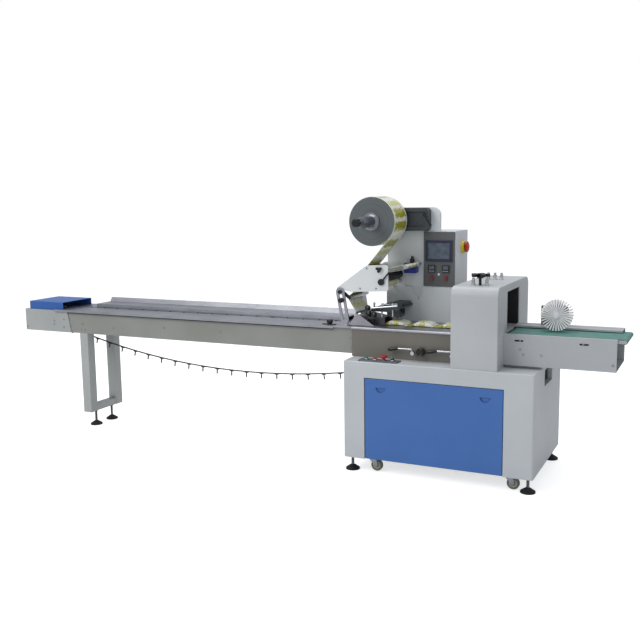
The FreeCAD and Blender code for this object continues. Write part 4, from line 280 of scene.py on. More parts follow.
FINISHES = {
    # epoxy powder coat on folded steel: the machine's light grey, a soft even sheen
    "cabinet_paint": powder_coat("grey_powder_coat", "C0C4C7", "B8BDC0", "D2D6D8"),
    # the same process in clear blue, a little glossier on the flat lift-off panels
    "blue_door_paint": powder_coat("blue_powder_coat", "3F6DB1", "3A68AC", "5C86C4", 0.36),
    "blue_cover_paint": powder_coat("blue_cover_coat", "2E5FA8", "28569C", "5480C0", 0.38),
    # natural rubber over a steel core: almost black and quite matt
    "black_foot_rubber": moulded("black_foot_rubber", "18181A", "101012", 0.62),
    # grey paint on thin sheet, darker than the cabinet's
    "grey_sheet_paint": powder_coat("sheet_grey_coat", "A5A8A7", "9A9E9E", "C2C4C3", 0.4),
    # cold-rolled stainless, brushed along the product's run: long soft streaks
    "brushed_stainless": brushed_metal("brushed_stainless", "B4B5BB", "9A9BA3", "X", (0.3, 0.48)),
    # oiled chain steel: dark, in soft streaks
    "chain_steel": brushed_metal("oiled_chain_steel", "5A5A5C", "3A3A3D", "X", (0.3, 0.5)),
    "stand_paint": powder_coat("stand_grey_coat", "ACAEAC", "A2A5A4", "C4C6C4", 0.42),
    # taupe enamel of the drive housing
    "taupe_housing_paint": powder_coat("taupe_enamel", "76726A", "6C6860", "8E8B82", 0.4),
    # phenolic hand knobs: black, pressed and polished
    "black_bakelite": moulded("black_phenolic", "141416", "0D0D0F", 0.32, 1.4, 0.01),
    "dark_panel_paint": powder_coat("slate_panel_coat", "5C5E60", "545658", "74777A", 0.5),
    "button_plastic": moulded("red_button_plastic", "B0181E", "A0141A", 0.3, 1.2, 0.01),
    "film_roll_print": moulded("wound_film_edge", "5F6650", "4C523F", 0.45),
    # lathe-turned aluminium: rings round the axis with a bright satin
    "turned_aluminium": brushed_metal("turned_aluminium", "C9CACC", "ABADB0", "Y", (0.22, 0.36), 0.8),
    "dark_bracket_paint": powder_coat("slate_bracket_coat", "3F454B", "363B41", "60666C", 0.45),
    "stop_button_red": moulded("stop_cap_red", "C4161C", "B01218", 0.28, 1.2, 0.01),
    "white_plate_paint": powder_coat("white_plate_coat", "DDE0E0", "D2D6D8", "EDEEEE", 0.38),
    "black_rubber": moulded("ground_roller_rubber", "1B1B1D", "121214", 0.6),
    "blue_sensor_plastic": moulded("blue_sensor_shell", "2F3D9E", "28358C", 0.4),
    "film_print": moulded("printed_film", "D8D48A", "BEB95A", 0.2),
    "end_housing_paint": powder_coat("housing_grey_coat", "B9BCBE", "B0B4B6", "CED0D1", 0.4),
    "jaw_steel": brushed_metal("ground_jaw_steel", "8F8B86", "6F6B66", "Y"),
    "polished_chrome": brushed_metal("bright_chrome", "D9DADC", "C6C8CB", "Z", (0.08, 0.16), 2.0),
    "green_belt": moulded("green_belt_cover", "5A8C84", "4E8078", 0.55, 1.6, 0.05),
    "white_bristle": moulded("white_nylon_bristle", "FAFAFA", "F0F0F0", 0.4),
    "lever_chrome": brushed_metal("lever_chrome", "C9CBCE", "B4B6BA", "X", (0.12, 0.22), 2.0),
    "zinc_plate": brushed_metal("bright_zinc_plate", "AEB4B8", "929A9F", "Z", (0.28, 0.45), 1.5),
    "castor_rubber": moulded("castor_tread_rubber", "77796F", "66685F", 0.55),
}


# glass over a grey display: smooth and faintly mottled
SCREEN_GLASS = moulded("screen_glass", "5B6672", "4A5561", 0.12, 30, 0.001)
# cast acrylic over a dark display: almost black with a glossy skin
CONTROLLER_FACE = moulded("controller_face", "1A1C22", "121318", 0.2, 1.2, 0.01)
# moulded navy frame of the screen
BEZEL_NAVY = moulded("bezel_navy", "23264A", "1B1E3C", 0.35, 1.2, 0.01)
# moulded signal-yellow plastic
COLLAR_YELLOW = moulded("stop_collar_yellow", "E6D21C", "D6C010", 0.35, 1.2, 0.01)
# moulded switch caps and lenses: even colour, a soft gloss
SWITCH_RED = moulded("rocker_red", "7C2A30", "6C2228", 0.3, 1.2, 0.01)
BUTTON_GREEN = moulded("button_green", "2F7F74", "256C62", 0.3, 1.2, 0.01)
LAMP_WHITE = moulded("lamp_lens_white", "E6E8EA", "D6D8DC", 0.2, 1.2, 0.01)
# moulded nylon of the castor rims, duller than the caps
HUB_BEIGE = moulded("castor_hub_nylon", "B7AE9A", "A89F8C", 0.5)
# matt black sheet inside the sealing tunnel: painted shade, standing for the shade that falls inside it
TUNNEL_PAINTED_SHADE = powder_coat("tunnel_painted_shade_coat", "1D1E21", "17181A", "2A2B2E", 0.6)
# black coat of the recess insert and of the strip under the deck: painted shade for the recess and for the shadow
# under the deck
PAINTED_SHADE_BLACK = powder_coat("painted_shade_black_coat", "26282C", "1E2023", "3A3C40", 0.5)


def printed_film():
    """Clear-coated white film with yellow-green fields; its map gives the share across and metres along."""
    finish = Finish("printed_film_web", Roughness=0.22, IOR=1.5)
    place = add(finish.tree, "ShaderNodeAttribute", attribute_name="print").outputs["Vector"]
    parts = add(finish.tree, "ShaderNodeSeparateXYZ", {"Vector": place}).outputs
    across, along = parts["X"], parts["Y"]
    ragged = finish.math("MULTIPLY", finish.math("SUBTRACT", finish.noise(13, 5), 0.5), 0.42)
    turn = finish.math("ADD", finish.math("FRACT", finish.math("DIVIDE", along, PRINT_PITCH * MM)), ragged)

    def band(value, low, high):
        rise = add(finish.tree, "ShaderNodeMapRange",
                   {"Value": value, 1: low - 0.02, 2: low + 0.02}).outputs[0]
        fall = add(finish.tree, "ShaderNodeMapRange", {"Value": value, 1: high - 0.02, 2: high + 0.02,
                                                       3: 1.0, 4: 0.0}).outputs[0]
        return finish.math("MULTIPLY", rise, fall)

    inside = band(finish.math("ADD", across, ragged), 0.08, 0.92)
    field = finish.math("MULTIPLY", inside, band(turn, 0.12, 0.46))
    second = finish.math("MULTIPLY", inside, band(turn, 0.60, 0.82))
    speckle = finish.ramp(finish.noise(6, 5), [(0.46, 0.0), (0.5, 1.0)])
    white = finish.blend(finish.ramp(finish.noise(30, 3), [(0.4, 0.0), (0.7, 1.0)]), "E9EADF", "D5D8C8")
    pale = finish.blend(speckle, "E2E0B8", "B4B23C")
    strong = finish.blend(speckle, "B9B63A", "85872A")
    colour = finish.blend(field, finish.blend(second, white, pale), strong)
    finish.feed("Base Color", colour)
    finish.relief(finish.noise(16, 3, (1, 3, 1)), 0.5)
    return finish.material


def wound_edge():
    """The side of a wound roll: hundreds of film edges as fine rings about the reel's axis."""
    finish = Finish("wound_film_side", Roughness=0.5, IOR=1.5)
    parts = add(finish.tree, "ShaderNodeSeparateXYZ", {"Vector": finish.coords}).outputs
    axis = machine(REEL[0], 0, REEL[1])
    dx = finish.math("SUBTRACT", parts["X"], axis.x)
    dz = finish.math("SUBTRACT", parts["Z"], axis.z)
    squares = finish.math("ADD", finish.math("MULTIPLY", dx, dx), finish.math("MULTIPLY", dz, dz))
    reach = finish.math("SQRT", squares)
    place = add(finish.tree, "ShaderNodeCombineXYZ", {"X": reach}).outputs[0]
    rings = finish.noise(0.9, 5, vector=place)
    bands = finish.noise(9, 2, vector=place)
    tone = finish.math("ADD", finish.math("MULTIPLY", rings, 0.5), finish.math("MULTIPLY", bands, 0.5))
    finish.feed("Base Color", finish.ramp(tone, [(0.3, "4A5152"), (0.7, "63696A")]))
    finish.relief(rings, 0.05, 0.8)
    return finish.material


# ---- mesh making ----------------------------------------------------------------------------------
class Shape:
    """Points and faces of one piece, in millimetres from the cabinet's front left corner."""

    def __init__(self):
        self.points, self.faces, self.kinds, self.print_map = [], [], [], {}

    def take(self, points, faces, kind=0):
        start = len(self.points)
        self.points += [tuple(p) for p in points]
        self.faces += [[start + i for i in face] for face in faces]
        self.kinds += [kind] * len(faces)
        return start

    def lathe(self, profile, base, axis=(0, 0, 1), sides=24, kind=0):
        """Turns (radius, height) points about an axis; a profile that leaves the axis is closed as a ring."""
        axis = Vector(axis).normalized()
        side = axis.orthogonal().normalized()
        up = axis.cross(side)
        base = Vector(base)
        rows, points = [], []
        for radius, height in profile:
            count = 1 if radius == 0 else sides
            rows.append(range(len(points), len(points) + count))
            for i in range(count):
                angle = 2 * math.pi * i / sides
                points.append(base + axis * height + (side * math.cos(angle) + up * math.sin(angle)) * radius)
        pairs = list(zip(rows, rows[1:]))
        if len(rows[0]) > 1:
            pairs.append((rows[-1], rows[0]))
        faces = []
        for low, high in pairs:
            for i in range(sides):
                j = (i + 1) % sides
                corners = [low[i % len(low)], low[j % len(low)], high[j % len(high)], high[i % len(high)]]
                ring = list(dict.fromkeys(corners))
                if len(ring) > 2:
                    faces.append(ring)
        self.take(points, faces, kind)
        return self

    def block(self, low, high, edge=0.5, kind=0):
        """A box with every edge taken off."""
        low, high = Vector(low), Vector(high)
        solid = bmesh.new()
        bmesh.ops.create_cube(solid, size=1.0)
        for vert in solid.verts:
            vert.co = Vector([low[i] if vert.co[i] < 0 else high[i] for i in range(3)])
        bmesh.ops.bevel(solid, geom=solid.edges[:], offset=edge, segments=2, profile=0.7, affect="EDGES")
        solid.verts.index_update()
        self.take([v.co.copy() for v in solid.verts], [[v.index for v in f.verts] for f in solid.faces], kind)
        solid.free()
        return self

    def mesh(self, name, in_place=True):
        mesh = bpy.data.meshes.new(name)
        mesh.from_pydata([machine(*p) if in_place else Vector(p) * MM for p in self.points], [], self.faces)
        mesh.polygons.foreach_set("material_index", self.kinds)
        if self.print_map:
            layer = mesh.uv_layers.new(name="print")
            for loop in mesh.loops:
                layer.data[loop.index].uv = self.print_map.get(loop.vertex_index, (0.5, 0.0))
        work = bmesh.new()
        work.from_mesh(mesh)
        bmesh.ops.recalc_face_normals(work, faces=work.faces[:])
        work.to_mesh(mesh)
        work.free()
        mesh.shade_smooth()
        mesh.set_sharp_from_angle(angle=math.radians(38))
        return mesh


def finished(name, mesh, materials=(), body="machine", replaces=()):
    """Puts a piece in the scene, on the body it moves with."""
    piece = bpy.data.objects.new(name, mesh)
    scene.collection.objects.link(piece)
    for material in materials:
        mesh.materials.append(material)
    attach(piece, body)
    if replaces:
        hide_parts(*replaces)
    return piece


def make_repeat_tree():
    """A tree that sets a part on every spot, its Z along the facing and its X along the run."""
    tree = bpy.data.node_groups.new("parts_on_spots", "GeometryNodeTree")
    for label, kind in (("Spots", "Geometry"), ("Part", "Object"),
                        ("Size", "Float"), ("Size Spread", "Float"),
                        ("Seed", "Int"), ("Material", "Material")):
        tree.interface.new_socket(name=label, in_out="INPUT", socket_type="NodeSocket" + kind)
    tree.interface.new_socket(name="Parts", in_out="OUTPUT", socket_type="NodeSocketGeometry")
    given = add(tree, "NodeGroupInput").outputs
    facing, run = [add(tree, "GeometryNodeInputNamedAttribute", {"Name": label},
                       data_type="FLOAT_VECTOR").outputs["Attribute"] for label in ("facing", "run")]
    upright = add(tree, "FunctionNodeAlignRotationToVector", {"Vector": facing}, axis="Z").outputs[0]
    turned = add(tree, "FunctionNodeAlignRotationToVector", {"Rotation": upright, "Vector": run},
                 axis="X", pivot_axis="Z").outputs[0]
    least = add(tree, "ShaderNodeMath", {0: 1.0, 1: given["Size Spread"]}, operation="SUBTRACT").outputs[0]
    share = add(tree, "FunctionNodeRandomValue", {2: least, 3: 1.0, "Seed": given["Seed"]}).outputs[1]
    size = add(tree, "ShaderNodeMath", {0: given["Size"], 1: share}, operation="MULTIPLY").outputs[0]
    part = add(tree, "GeometryNodeObjectInfo", {"Object": given["Part"]}).outputs["Geometry"]
    placed = add(tree, "GeometryNodeInstanceOnPoints", {"Points": given["Spots"], "Instance": part,
                                                        "Rotation": turned, "Scale": size})
    solid = add(tree, "GeometryNodeRealizeInstances", {"Geometry": placed.outputs[0]})
    painted = add(tree, "GeometryNodeSetMaterial",
                  {"Geometry": solid.outputs[0], "Material": given["Material"]})
    add(tree, "NodeGroupOutput", {0: painted.outputs[0]})
    return tree


REPEAT_TREE = make_repeat_tree()
REPEAT_INPUTS = {item.name: item.identifier for item in REPEAT_TREE.interface.items_tree
                 if item.in_out == "INPUT"}


def repeated(part, spots, material, size=1.0, spread=0.0, seed=3):
    """One plain mesh of the part set on all spots; a spot is (place, facing, run) in millimetres."""
    points = bpy.data.meshes.new("spots")
    points.from_pydata([machine(*s[0]) for s in spots], [], [])
    for index, label in ((1, "facing"), (2, "run")):
        points.attributes.new(label, "FLOAT_VECTOR", "POINT").data.foreach_set(
            "vector", [c for s in spots for c in s[index]])
    holder = bpy.data.objects.new("spots", points)
    source = bpy.data.objects.new("part", part)
    for made in (holder, source):
        scene.collection.objects.link(made)
    steps = holder.modifiers.new("parts_on_spots", "NODES")
    steps.node_group = REPEAT_TREE
    for label, value in (("Part", source), ("Size", size), ("Size Spread", spread), ("Seed", seed),
                         ("Material", material)):
        steps[REPEAT_INPUTS[label]] = value
    bpy.context.view_layer.update()
    depsgraph = bpy.context.evaluated_depsgraph_get()
    mesh = bpy.data.meshes.new_from_object(holder.evaluated_get(depsgraph))
    for made in (holder, source):
        bpy.data.objects.remove(made)
    return mesh


# ---- film: roll, web and tube ----------------------------------------------------------------------
def film_line():
    """Points along the middle of the web, each with its heading, metres run and share of a free span."""
    stations = [(Vector((x, z)), r + 0.9, side) for x, z, r, side in FILM_STATIONS]
    runs = []
    for (c1, r1, s1), (c2, r2, s2) in zip(stations, stations[1:]):
        gap = c2 - c1
        heading = math.atan2(gap.y, gap.x) + math.asin((s1 * r1 - s2 * r2) / gap.length)
        right = Vector((math.sin(heading), -math.cos(heading)))
        runs.append((c1 + right * (s1 * r1), c2 + right * (s2 * r2), heading))
    line = []
    for i, (start, end, heading) in enumerate(runs):
        steps = max(2, round((end - start).length / 9))
        line += [(start.lerp(end, k / steps), heading, math.sin(math.pi * k / steps))
                 for k in range(steps + 1)]
        if i + 1 < len(runs):
            centre, radius, side = stations[i + 1]
            wrap = ((runs[i + 1][2] - heading) * side + math.pi) % (2 * math.pi) - math.pi
            count = max(2, round(abs(wrap) / 0.16))
            for k in range(1, count):
                turn = heading + side * wrap * k / count
                right = Vector((math.sin(turn), -math.cos(turn)))
                line.append((centre + right * (side * radius), turn, 0.0))
    return line


def make_film_web():
    """The printed web from the roll to the ridge of the forming box, slightly rippled where it hangs free."""
    line = film_line()
    shape, columns, half = Shape(), 10, 0.3
    length, last, rows = 0.0, line[0][0], []
    for place, heading, free in line:
        length += (place - last).length
        last = place
        normal = Vector((math.sin(heading), -math.cos(heading)))
        row = []
        for side in (-1, 1):
            for k in range(columns + 1):
                y = FILM_FRONT + (FILM_BACK - FILM_FRONT) * k / columns
                ripple = 0.9 * free * noise.noise(Vector((length / 45, y / 38, 1.7)))
                spot = place + normal * (side * half + ripple)
                row.append(len(shape.points))
                shape.print_map[len(shape.points)] = (k / columns, length * MM)
                shape.points.append((spot.x, y, spot.y))
        rows.append(row)
    wide = columns + 1
    for low, high in zip(rows, rows[1:]):
        for k in range(columns):
            for base in (0, wide):
                shape.faces.append([low[base + k], low[base + k + 1], high[base + k + 1], high[base + k]])
        for k in (0, columns):
            shape.faces.append([low[k], low[wide + k], high[wide + k], high[k]])
    for row in (rows[0], rows[-1]):
        for k in range(columns):
            shape.faces.append([row[k], row[k + 1], row[wide + k + 1], row[wide + k]])
    shape.kinds = [0] * len(shape.faces)
    web = finished("printed_film_web", shape.mesh("printed_film_web"), [PRINTED],
                   replaces=["film_web"])


def make_film_roll():
    """The wound roll: printed outside, with ringed sides and the bore of its core."""
    shape, sides = Shape(), 96
    rows = [(ROLL_CORE, FILM_FRONT), (ROLL_CORE + 5, FILM_FRONT), (ROLL_RADIUS - 0.8, FILM_FRONT + 0.4),
            (ROLL_RADIUS, FILM_FRONT + 1.4), (ROLL_RADIUS, FILM_BACK - 1.4),
             (ROLL_RADIUS - 0.8, FILM_BACK - 0.4),
            (ROLL_CORE + 5, FILM_BACK), (ROLL_CORE, FILM_BACK)]
    for radius, y in rows:
        for i in range(sides + 1):
            angle = 2 * math.pi * i / sides
            shape.print_map[len(shape.points)] = ((y - FILM_FRONT) / (FILM_BACK - FILM_FRONT),
                                                  angle * ROLL_RADIUS * MM)
            shape.points.append((REEL[0] + radius * math.cos(angle), y, REEL[1] + radius * math.sin(angle)))
    wide = sides + 1
    for r in range(len(rows)):
        for i in range(sides):
            low, high = r * wide, ((r + 1) % len(rows)) * wide
            shape.faces.append([low + i, low + i + 1, high + i + 1, high + i])
            shape.kinds.append(0 if r in (2, 3, 4) else 1)
    mesh = shape.mesh("wound_film_roll")
    work = bmesh.new()
    work.from_mesh(mesh)
    bmesh.ops.remove_doubles(work, verts=work.verts[:], dist=1e-6)
    bmesh.ops.recalc_face_normals(work, faces=work.faces[:])
    work.to_mesh(mesh)
    work.free()
    finished("wound_film_roll", mesh, [PRINTED, wound_edge()], "film_reel", ["film_roll"])


def tube_height(x):
    """Swollen over each wrapped piece, drawn down between them."""
    phase = (x - 142.0) / PRINT_PITCH % 1.0
    swell = max(0.0, math.sin(math.pi * min(1.0, phase / 0.74))) ** 0.45
    return 5.0 + (23.0 - 8.0 * (x - 142.0) / 424.0) * swell


def make_film_tube():
    """The closed film tube on the table, creased where it is drawn down between the products."""
    shape, sides, stations = Shape(), 40, 106
    for s in range(stations + 1):
        x = 142.0 + 424.0 * s / stations
        height = tube_height(x)
        width = 104.0 + (33.0 - height) * 0.16
        for i in range(sides):
            angle = 2 * math.pi * (i + 0.5) / sides
            across, up = math.cos(angle), math.sin(angle)
            crease = (noise.noise(Vector((x / 9, angle * 3.1, 0.4))) * 1.6
                      + noise.noise(Vector((x / 24, angle * 6, 3))) * 2.0)
            lift = height / 2 * math.copysign(abs(up) ** 0.55, up)
            y = LANE_Y + (width / 2 - 2 + crease * 0.5) * math.copysign(abs(across) ** 0.4, across)
            z = TABLE_TOP + 0.3 + height / 2 + lift + (crease * max(0.0, up) * min(1.0, height / 16))
            shape.print_map[len(shape.points)] = (((i + 0.5) / sides + 0.25) % 1.0, (x - 92.0) * MM)
            shape.points.append((x, y, min(max(z, TABLE_TOP + 0.3), TABLE_TOP + 36)))
    for s in range(stations):
        for i in range(sides):
            j = (i + 1) % sides
            low, high = s * sides, (s + 1) * sides
            shape.faces.append([low + i, low + j, high + j, high + i])
    shape.faces += [list(range(sides)), [stations * sides + i for i in range(sides)]]
    shape.kinds = [0] * len(shape.faces)
    finished("creased_film_tube", shape.mesh("creased_film_tube"), [PRINTED],
             replaces=["film_tube"])


# ---- lug chain --------------------------------------------------------------------------------------
CHAIN_PITCH = 12.7
PUSHER_PITCH = 101.6
CARRY_Z, SPROCKET, SPROCKET_X = 716.0, 32.5, -2230.0


def return_height(x):
    return 415.0 + 236.0 * ((x + 760.0) / 1470.0) ** 2


def chain_line():
    """The loop from the table, back over the tail sprocket, and along the hanging strand to the cabinet."""
    line = [Vector((-10.0 - 12 * i, CARRY_Z)) for i in range(186)]
    centre = Vector((SPROCKET_X, CARRY_Z - SPROCKET))
    line += [centre + Vector((math.cos(a), math.sin(a))) * SPROCKET
             for a in [math.pi / 2 + math.pi * i / 24 for i in range(25)]]
    line += [Vector((x, return_height(x))) for x in range(-2218, 50, 12)]
    return line


def along_chain(first, pitch):
    """Spots every pitch along the loop: place, outward facing and run."""
    spots, travelled, due = [], 0.0, first
    line = chain_line()
    for start, end in zip(line, line[1:]):
        step = (end - start).length
        run = (end - start).normalized()
        while due <= travelled + step:
            place = start + run * (due - travelled)
            spots.append(((place.x, LANE_Y, place.y), (run.y, 0, -run.x), (run.x, 0, run.y)))
            due += pitch
        travelled += step
    return spots


# faces of a plate with eight corners: its two flat sides, then its rim
EIGHT_SIDED = [list(range(8)), list(range(8, 16))]
EIGHT_SIDED += [[i, (i + 1) % 8, (i + 1) % 8 + 8, i + 8] for i in range(8)]


def make_lug_chain():
    steel = FINISHES["chain_steel"]
    link = Shape()
    for side in (-1, 1):
        y = 3.6 * side
        side_plate = ((-6.1, -1.6), (-4, -3.2), (4, -3.2), (6.1, -1.6),
                      (6.1, 1.6), (4, 3.2), (-4, 3.2), (-6.1, 1.6))
        link.take([(x, y + 0.6 * k, z) for k in (-1, 1) for x, z in side_plate],
                  EIGHT_SIDED)
    link.lathe([(0, -2.9), (3.6, -2.9), (3.6, 2.9), (0, 2.9)], (0, 0, 0), (0, 1, 0), 8)
    links = repeated(link.mesh("chain_link", False), along_chain(2, CHAIN_PITCH), steel)
    finished("roller_chain_links", links, replaces=["lug_chain_carry"])
    lug = Shape()
    outline = ((-13, 4), (13, 4), (13, 6.5), (2, 7), (2, 33), (-2, 35), (-2, 7), (-13, 6.5))
    lug.take([(x, y, z) for y in (-4.5, 4.5) for x, z in outline],
             EIGHT_SIDED)
    spots = [s for s in along_chain(60, PUSHER_PITCH) if not (s[0][0] < -2150 or s[0][0] > -40)]
    lugs = repeated(lug.mesh("chain_lug", False), spots, steel)
    finished("chain_pushers", lugs, replaces=["lug_chain_return"])


# ---- controls ---------------------------------------------------------------------------------------
def make_panel_details():
    """Screen, temperature controllers, rocker switches and the small lamp of the face plate."""
    shape = Shape()
    shape.block((313, 424.2, 1091), (437, 425.6, 1179), 0.5)
    finished("touch_screen", shape.mesh("touch_screen"), [SCREEN_GLASS])
    frame_ring = Shape()
    for low, high in (((301.5, 421.2, 1178), (448.5, 424, 1191.5)),
                      ((301.5, 421.2, 1078.5), (448.5, 424, 1092)),
                      ((301.5, 421.2, 1090), (315, 424, 1180)), ((435, 421.2, 1090), (448.5, 424, 1180))):
        frame_ring.block(low, high, 0.8)
    finished("screen_bezel", frame_ring.mesh("screen_bezel"), [BEZEL_NAVY])
    faces, rockers = Shape(), Shape()
    for x in (336, 414):
        faces.block((x - 20, 422.6, 1019), (x + 20, 425.4, 1059), 1.2)
        faces.block((x - 14, 421.6, 1036), (x + 14, 423.2, 1054), 0.5, 1)
        rockers.block((x - 9, 421.0, 978), (x + 9, 424.6, 1002), 1.4)
        rockers.block((x - 6, 419.4, 981), (x + 6, 421.6, 991), 0.8)
    finished("controller_faces", faces.mesh("controller_faces"),
             [CONTROLLER_FACE, SCREEN_GLASS])
    finished("rocker_switches", rockers.mesh("rocker_switches"), [SWITCH_RED])
    keys = Shape().block((-2.2, -1.2, 0), (2.2, 1.2, 1.0), 0.3)
    spots = [((x + dx, 422.7, 1026), (0, -1, 0), (1, 0, 0)) for x in (336, 414) for dx in (-12, -4, 4, 12)]
    finished("controller_keys", repeated(keys.mesh("key", False), spots, LAMP_WHITE))
    lamp = Shape().lathe([(0, 0), (6.5, 0), (6.5, 2), (4.6, 2.6), (4, 6), (0, 7)],
                         (375, 430, 1008), (0, -1, 0), 16)
    finished("ready_lamp", lamp.mesh("ready_lamp"), [LAMP_WHITE])


def make_stop_station():
    """Yellow collar and red mushroom on the control box."""
    shape = Shape()
    place = (465, 562, 1150)
    shape.lathe([(0, 0), (34, 0), (34, 8), (31, 14), (18, 15), (0, 15)], place, (1, 0, 0), 36, 0)
    shape.lathe([(0, 15), (14, 15.2), (14, 19), (27, 20), (30, 24), (29, 29), (22, 33), (0, 34)],
                place, (1, 0, 0), 36, 1)
    finished("emergency_mushroom", shape.mesh("emergency_mushroom"),
             [COLLAR_YELLOW, FINISHES["stop_button_red"]], replaces=["emergency_stop"])


def make_button_row():
    """The four controls on the front station: start, stop lamp, mushroom and key switch."""
    shape, z = Shape(), 596
    for i, kind in enumerate((0, 1, 1, 3)):
        base = (110.5 + 48 * i, 48, z)
        shape.lathe([(0, 0), (14, 0), (14, 3.5), (11.5, 5.5), (0, 5.6)], base, sides=24, kind=2)
        if i == 2:
            shape.lathe([(0, 5.6), (8, 5.7), (8, 13), (16, 15), (19, 19), (18, 24), (12, 28), (0, 29)],
                        base, kind=1)
        elif i == 3:
            shape.lathe([(0, 5.6), (9.5, 5.7), (9.5, 11), (8, 12.4), (0, 12.5)], base, kind=3)
            shape.block((base[0] - 1.6, 41, z + 12), (base[0] + 1.6, 55, z + 25), 0.6, 2)
        else:
            shape.lathe([(0, 5.6), (9.6, 5.7), (9.6, 11.5), (7.6, 13.6), (0, 14)], base, kind=kind)
    finished("station_buttons", shape.mesh("station_buttons"),
             [BUTTON_GREEN, FINISHES["button_plastic"], FINISHES["zinc_plate"], FINISHES["black_bakelite"]],
             replaces=["push_buttons"])


def make_lever_grips():
    """Black grips over the ends of the two pull levers."""
    for name, pivot in (("left", 342.0), ("right", 550.0)):
        shape = Shape()
        start, along = Vector((pivot - 82, 104, 652)), Vector((-50, 0, -9))
        shape.lathe([(0, -5), (6.4, -5), (7.6, 3), (9.1, 18), (9.3, 40), (8.6, 47), (6.5, 51.2), (0, 51.6)],
                    start, along, 20)
        finished(f"lever_grip_{name}", shape.mesh("lever_grip"),
                 [FINISHES["black_bakelite"]],
                 f"pull_lever_{name}")


# ---- brush, castors, feet and small fittings --------------------------------------------------------
def make_brush():
    """White plastic blades on a white hub; every blade flares a little."""
    blade = Shape()
    blade.take([(x, y, z) for z, w, t in ((13, 20, 0.9), (46, 21, 2.4), (77.5, 22, 3.4))
                for x, y in ((-t, -w), (t, -w), (t, w), (-t, w))],
               [[0, 1, 2, 3], [8, 9, 10, 11]] + [[r + i, r + (i + 1) % 4, r + (i + 1) % 4 + 4, r + i + 4]
                                                 for r in (0, 4) for i in range(4)])
    spots = []
    for i in range(32):
        angle = 2 * math.pi * i / 32
        facing = (math.cos(angle), 0, math.sin(angle))
        spots.append(((1028, 280, 840), facing, (-math.sin(angle), 0, math.cos(angle))))
    mesh = repeated(blade.mesh("brush_blade", False), spots, FINISHES["white_bristle"], spread=0.03, seed=11)
    finished("brush_blades", mesh, body="brush_rotor", replaces=["brush_wheel"])
    hub = Shape()
    hub.lathe([(0, 0), (9, 0), (9, 4), (16, 4), (16, 50), (6, 50), (6, 156), (0, 156)],
              (1028, 252, 840), (0, 1, 0), 28)
    finished("brush_hub", hub.mesh("brush_hub"), [LAMP_WHITE], "brush_rotor")


def make_castor_hubs():
    for corner, (x, y) in {"front_left": (164, 60), "front_right": (880, 60), "rear_left": (164, 610),
                           "rear_right": (880, 610)}.items():
        shape = Shape()
        for side in (-1, 1):
            shape.lathe([(13.3, 0), (20.2, 0), (20.2, 1.2), (18.8, 1.9), (14.6, 1.9), (13.3, 1.2)],
                        (x, y + 9.05 * side, 33.5), (0, side, 0), 28)
        finished(f"castor_rim_{corner}", shape.mesh("castor_rim"), [HUB_BEIGE],
                 f"castor_wheel_{corner}")


def make_threads():
    """Thread turns on every levelling stud, and the stubs with nuts above the stand's rail."""
    ring = Shape().lathe([(6.8, -1.1), (7.9, 0), (6.8, 1.1)], (0, 0, 0), sides=14)
    spots = [((x, y, z), (0, 0, 1), (1, 0, 0)) for x in (31, 954) for y in (45, 625)
             for z in [27 + 2.2 * i for i in range(17)]]
    spots += [((-1844, y, z), (0, 0, 1), (1, 0, 0)) for y in (213, 365)
              for z in [27 + 2.2 * i for i in range(26)]]
    finished("stud_threads", repeated(ring.mesh("thread_turn", False), spots, FINISHES["zinc_plate"]))
    stub = Shape()
    for y in (213, 365):
        stub.lathe([(0, 0), (12, 0), (12, 7), (7, 8), (7, 17), (6, 18), (0, 18)], (-1844, y, 136), sides=12)
    finished("stand_lock_nuts", stub.mesh("stand_lock_nuts"), [FINISHES["zinc_plate"]])


def make_screws():
    """Socket screws of the machine, each with its recess."""
    head = Shape().lathe([(0, 0), (1, 0), (1, 0.5), (0.86, 0.64), (0.52, 0.64), (0.48, 0.3), (0, 0.3)],
                         (0, 0, 0), sides=12)
    part = head.mesh("screw_head", False)
    spots = []
    for x, z in ((-1609, 650), (-1227, 671), (-835, 670), (-1846, 662),
                 (-1862, 624), (-1832, 625), (-23, 685),
                 (-23, 631)):
        spots.append(((x, 137, z), (0, -1, 0), (1, 0, 0)))
        spots.append(((x, 441, z), (0, 1, 0), (1, 0, 0)))
    for x, z in ((-2302, 624), (-2073, 672), (-2075, 652), (-1993, 684), (-1997, 635)):
        spots.append(((x, 131, z), (0, -1, 0), (1, 0, 0)))
        spots.append(((x, 447, z), (0, 1, 0), (1, 0, 0)))
    for x, z in ((886, 686), (900, 660), (986, 662), (1315, 637), (884, 727), (1180, 727)):
        spots.append(((x, 127, z), (0, -1, 0), (1, 0, 0)))
    for x, z in ((61, 1054), (22, 946), (112, 949)):
        spots.append(((x, 180, z), (0, -1, 0), (1, 0, 0)))
    finished("frame_screws", repeated(part, spots, FINISHES["zinc_plate"], 5.0, 0.04, 5))


def make_recess_shade():
    """Black insert with slats in the recess of the cabinet's right side: painted shade that darkens the recess.
    """
    slat = Shape().block((-1.0, -46, -2.2), (1.0, 46, 2.2), 0.5)
    spots = [((962.5, 376, z), (0.34, 0, 0.94), (0.94, 0, -0.34)) for z in [494 + 9 * i for i in range(9)]]
    finished("recess_slats", repeated(slat.mesh("slat", False), spots, PAINTED_SHADE_BLACK))
    plate = Shape().block((959.2, 328, 487.5), (960.6, 424.5, 567.5), 0.4)
    finished("recess_insert", plate.mesh("recess_insert"), [PAINTED_SHADE_BLACK])


def make_tunnel_painted_shade():
    """Matt black sheets on the legs and the roof of the sealing tunnel: painted shade that darkens its inside."""
    shape = Shape()
    shape.block((576, 190.3, 762), (799, 192.2, 955), 0.3)
    shape.block((576, 447.8, 762), (799, 449.7, 955), 0.3)
    shape.block((576, 192.4, 953.6), (799, 447.6, 955.6), 0.3)
    finished("tunnel_liner", shape.mesh("tunnel_liner"), [TUNNEL_PAINTED_SHADE])


